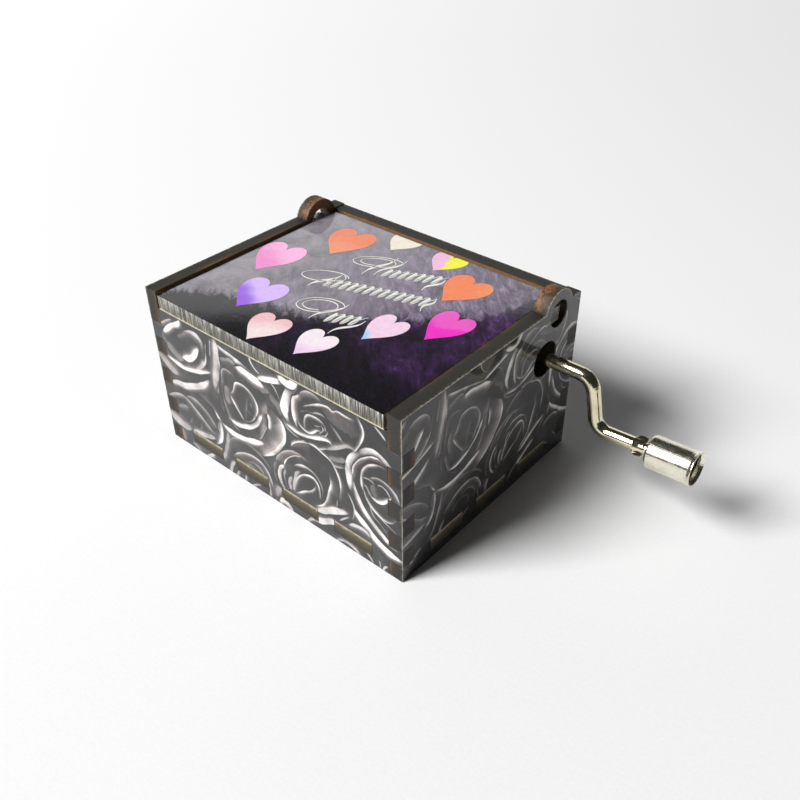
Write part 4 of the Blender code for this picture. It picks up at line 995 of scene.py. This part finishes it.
OVAL_STEPS, WAVE_STEPS, STEM_STEPS = 36, 14, 16


def loop_line(centre, long_half, short_half, tilt, turns, shrink):
    """A flat spiral oval that winds inwards."""
    steps = int(OVAL_STEPS * turns)
    c, s = cos(radians(tilt)), sin(radians(tilt))
    line = []
    for i in range(steps + 1):
        angle = 2 * pi * i / OVAL_STEPS
        size = 1 - shrink * i / steps
        x, y = long_half * size * cos(angle), short_half * size * sin(angle)
        line.append(Vector((centre[0] + x * c - y * s, centre[1] + x * s + y * c)))
    return line


def wave_row(points, faces, start, end, count, height):
    """A row of slanting strokes, thick on the way down and hair-thin on the way up."""
    start, end = Vector(start), Vector(end)
    lean = Vector((0.12, 1.0))
    steps = WAVE_STEPS * count
    line, widths = [], []
    for i in range(steps + 1):
        phase = 2 * pi * i / WAVE_STEPS
        share = i / steps + 0.16 * sin(phase) / count
        line.append(start + (end - start) * share + lean * height * cos(phase) / 2)
        widths.append(0.15 + 0.86 * max(0.0, sin(phase)) ** 1.1)
    add_stroke(points, faces, line, widths)


def make_flourish():
    """The lid's silver flourish: three rows of penman's waves, each led in by an oval."""
    points, faces = [], []
    rows = [((-1.6, 8.2), (9.2, 12.8), 7, 3.9), ((-7.6, -1.6), (12.6, 4.9), 13, 3.8),
            ((1.6, -10.6), (7.2, -8.2), 4, 3.9)]
    for row in rows:
        wave_row(points, faces, *row)
    ovals = [((-5.6, 10.4), 5.6, 2.5, 28, 1.75, 0.5), ((-9.6, -0.2), 4.9, 2.2, 26, 1.1, 0.12),
             ((-2.6, -8.8), 4.9, 2.9, 30, 1.8, 0.45)]
    for oval in ovals:
        line = loop_line(*oval)
        widths = [0.10 + 0.13 * abs(sin(2 * pi * i / OVAL_STEPS + 0.6)) for i in range(len(line))]
        add_stroke(points, faces, line, widths)
    stems = [((-3.4, 14.6), (-4.6, 5.0), 0.9), ((-1.2, 14.8), (-2.6, 6.2), 0.7),
             ((-7.2, 2.4), (-9.4, -5.2), 1.0), ((1.6, -5.0), (-0.8, -13.2), 0.8),
             ((12.4, 7.0), (13.0, 1.6), 0.6), ((9.4, 13.6), (8.4, 7.6), 0.7),
             ((7.8, -7.4), (5.4, -14.6), 0.7)]
    sway = Vector((0.5, 0))
    for top, bottom, width in stems:
        shares = [i / STEM_STEPS for i in range(STEM_STEPS + 1)]
        line = [Vector(top).lerp(Vector(bottom), share) + sway * sin(2 * pi * share) for share in shares]
        add_stroke(points, faces, line, [0.14 + width * 0.75 * sin(pi * share) ** 2 for share in shares])
    made = add_object("lid_flourish", mesh_of("lid_flourish", points, faces), [silver_ink()])
    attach(made, "lid")


# ---------------------------------------------------------------- metals on the CAD nodes


def dress_cad_nodes():
    nickel = metal("nickel", srgb(212, 204, 172), srgb(234, 228, 200), 0.11, 3.0, (0.3, 1, 1), 0.004)
    satin = metal("satin_nickel", srgb(226, 220, 200), srgb(242, 238, 224), 0.20, 2.6, (0.25, 1, 1), 0.006)
    brass = metal("brass", srgb(196, 158, 88), srgb(226, 190, 112), 0.22, 2.0, (1, 0.3, 1), 0.01)
    steel = metal("steel", srgb(150, 150, 154), srgb(196, 196, 198), 0.24, 2.4, (0.3, 1, 1), 0.01)
    zinc = cast_zinc()
    looks = {
        "bottom_panel": panel_board(),
        "bedplate": zinc,
        "comb": steel, "drum_arbor": steel, "worm_shaft": steel, "shaft_clip": steel,
        "drum": brass, "drum_cap": brass, "drum_gear": brass, "thrust_washer": brass,
        "worm_bracket": nickel, "crank_arm": nickel, "crank_knob": satin,
    }
    for number in (1, 2, 3):
        looks[f"comb_screw_{number}"] = brass
        looks[f"movement_screw_{number}"] = steel
    for number in (1, 2):
        looks[f"bracket_screw_{number}"] = steel
    for name, look in looks.items():
        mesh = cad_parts[name].data
        mesh.materials.clear()
        mesh.materials.append(look)


# ---------------------------------------------------------------- stage


def make_floor():
    half = 2500.0
    corners = [(-half, -half, 0), (half, -half, 0), (half, half, 0), (-half, half, 0)]
    mesh = mesh_of("floor", corners, [(0, 1, 2, 3)])
    floor = add_object("floor", mesh, [paper_floor()])


def add_light(name, towards, distance, size, radiance):
    """A flat soft light, seen only by light and reflections, that faces the case from the way given."""
    lamp = bpy.data.lights.new(name, "AREA")
    lamp.shape = "RECTANGLE"
    lamp.size, lamp.size_y = size[0] * MM, size[1] * MM
    lamp.energy = radiance * pi * lamp.size * lamp.size_y
    made = bpy.data.objects.new(name, lamp)
    way = Vector(towards).normalized()
    made.location = to_world(Vector((0, 0, 15)) + way * distance)
    made.rotation_euler = way.to_track_quat("Z", "Y").to_euler()
    made.visible_camera = False
    bpy.context.scene.collection.objects.link(made)


BACKDROP = (0.84, 0.84, 0.84)  # what the camera sees behind the floor
ROOM = ((0.0, 0.05), (0.42, 0.025), (0.8, 0.025), (1.0, 0.06))  # the room's grey from the horizon up


def make_lights():
    add_light("window", (-0.31, -0.60, 0.63), 2200, (860, 860), 31.0)
    add_light("back_wall_glow", (-0.66, 0.75, 0.31), 800, (1300, 440), 1.0)
    world = bpy.data.worlds.new("room")
    world.use_nodes = True
    tree = world.node_tree
    place = node(tree, "TexCoord").outputs["Generated"]
    height = spread(tree, node(tree, "SeparateXYZ", {0: place}).outputs[2], 0.0, 1.0)
    colour = ramp(tree, height, *((share, [grey] * 3) for share, grey in ROOM))
    seen = node(tree, "LightPath").outputs["Is Camera Ray"]
    colour = mix(tree, seen, colour, BACKDROP)
    tree.links.new(colour, tree.nodes["Background"].inputs["Color"])
    bpy.context.scene.world = world
    bpy.context.scene.view_settings.view_transform = "Standard"


def make_camera():
    level = Vector((cos(AZIMUTH), sin(AZIMUTH), 0))
    back = Vector((sin(AZIMUTH) * cos(ELEVATION), -cos(AZIMUTH) * cos(ELEVATION), sin(ELEVATION)))
    up = back.cross(level)
    right = level * cos(ROLL) + up * sin(ROLL)
    up = up * cos(ROLL) - level * sin(ROLL)
    turn = Matrix((right, up, back)).transposed()
    lens = bpy.data.cameras.new("camera")
    lens.lens = LENS
    lens.sensor_width = 36.0
    lens.clip_start = 0.001
    camera = bpy.data.objects.new("camera", lens)
    camera.matrix_world = Matrix.Translation(to_world(TARGET + back * DISTANCE)) @ turn.to_4x4()
    bpy.context.scene.collection.objects.link(camera)
    bpy.context.scene.camera = camera


make_camera()
make_case()
make_lid()
make_hearts()
make_flourish()
dress_cad_nodes()
make_floor()
make_lights()
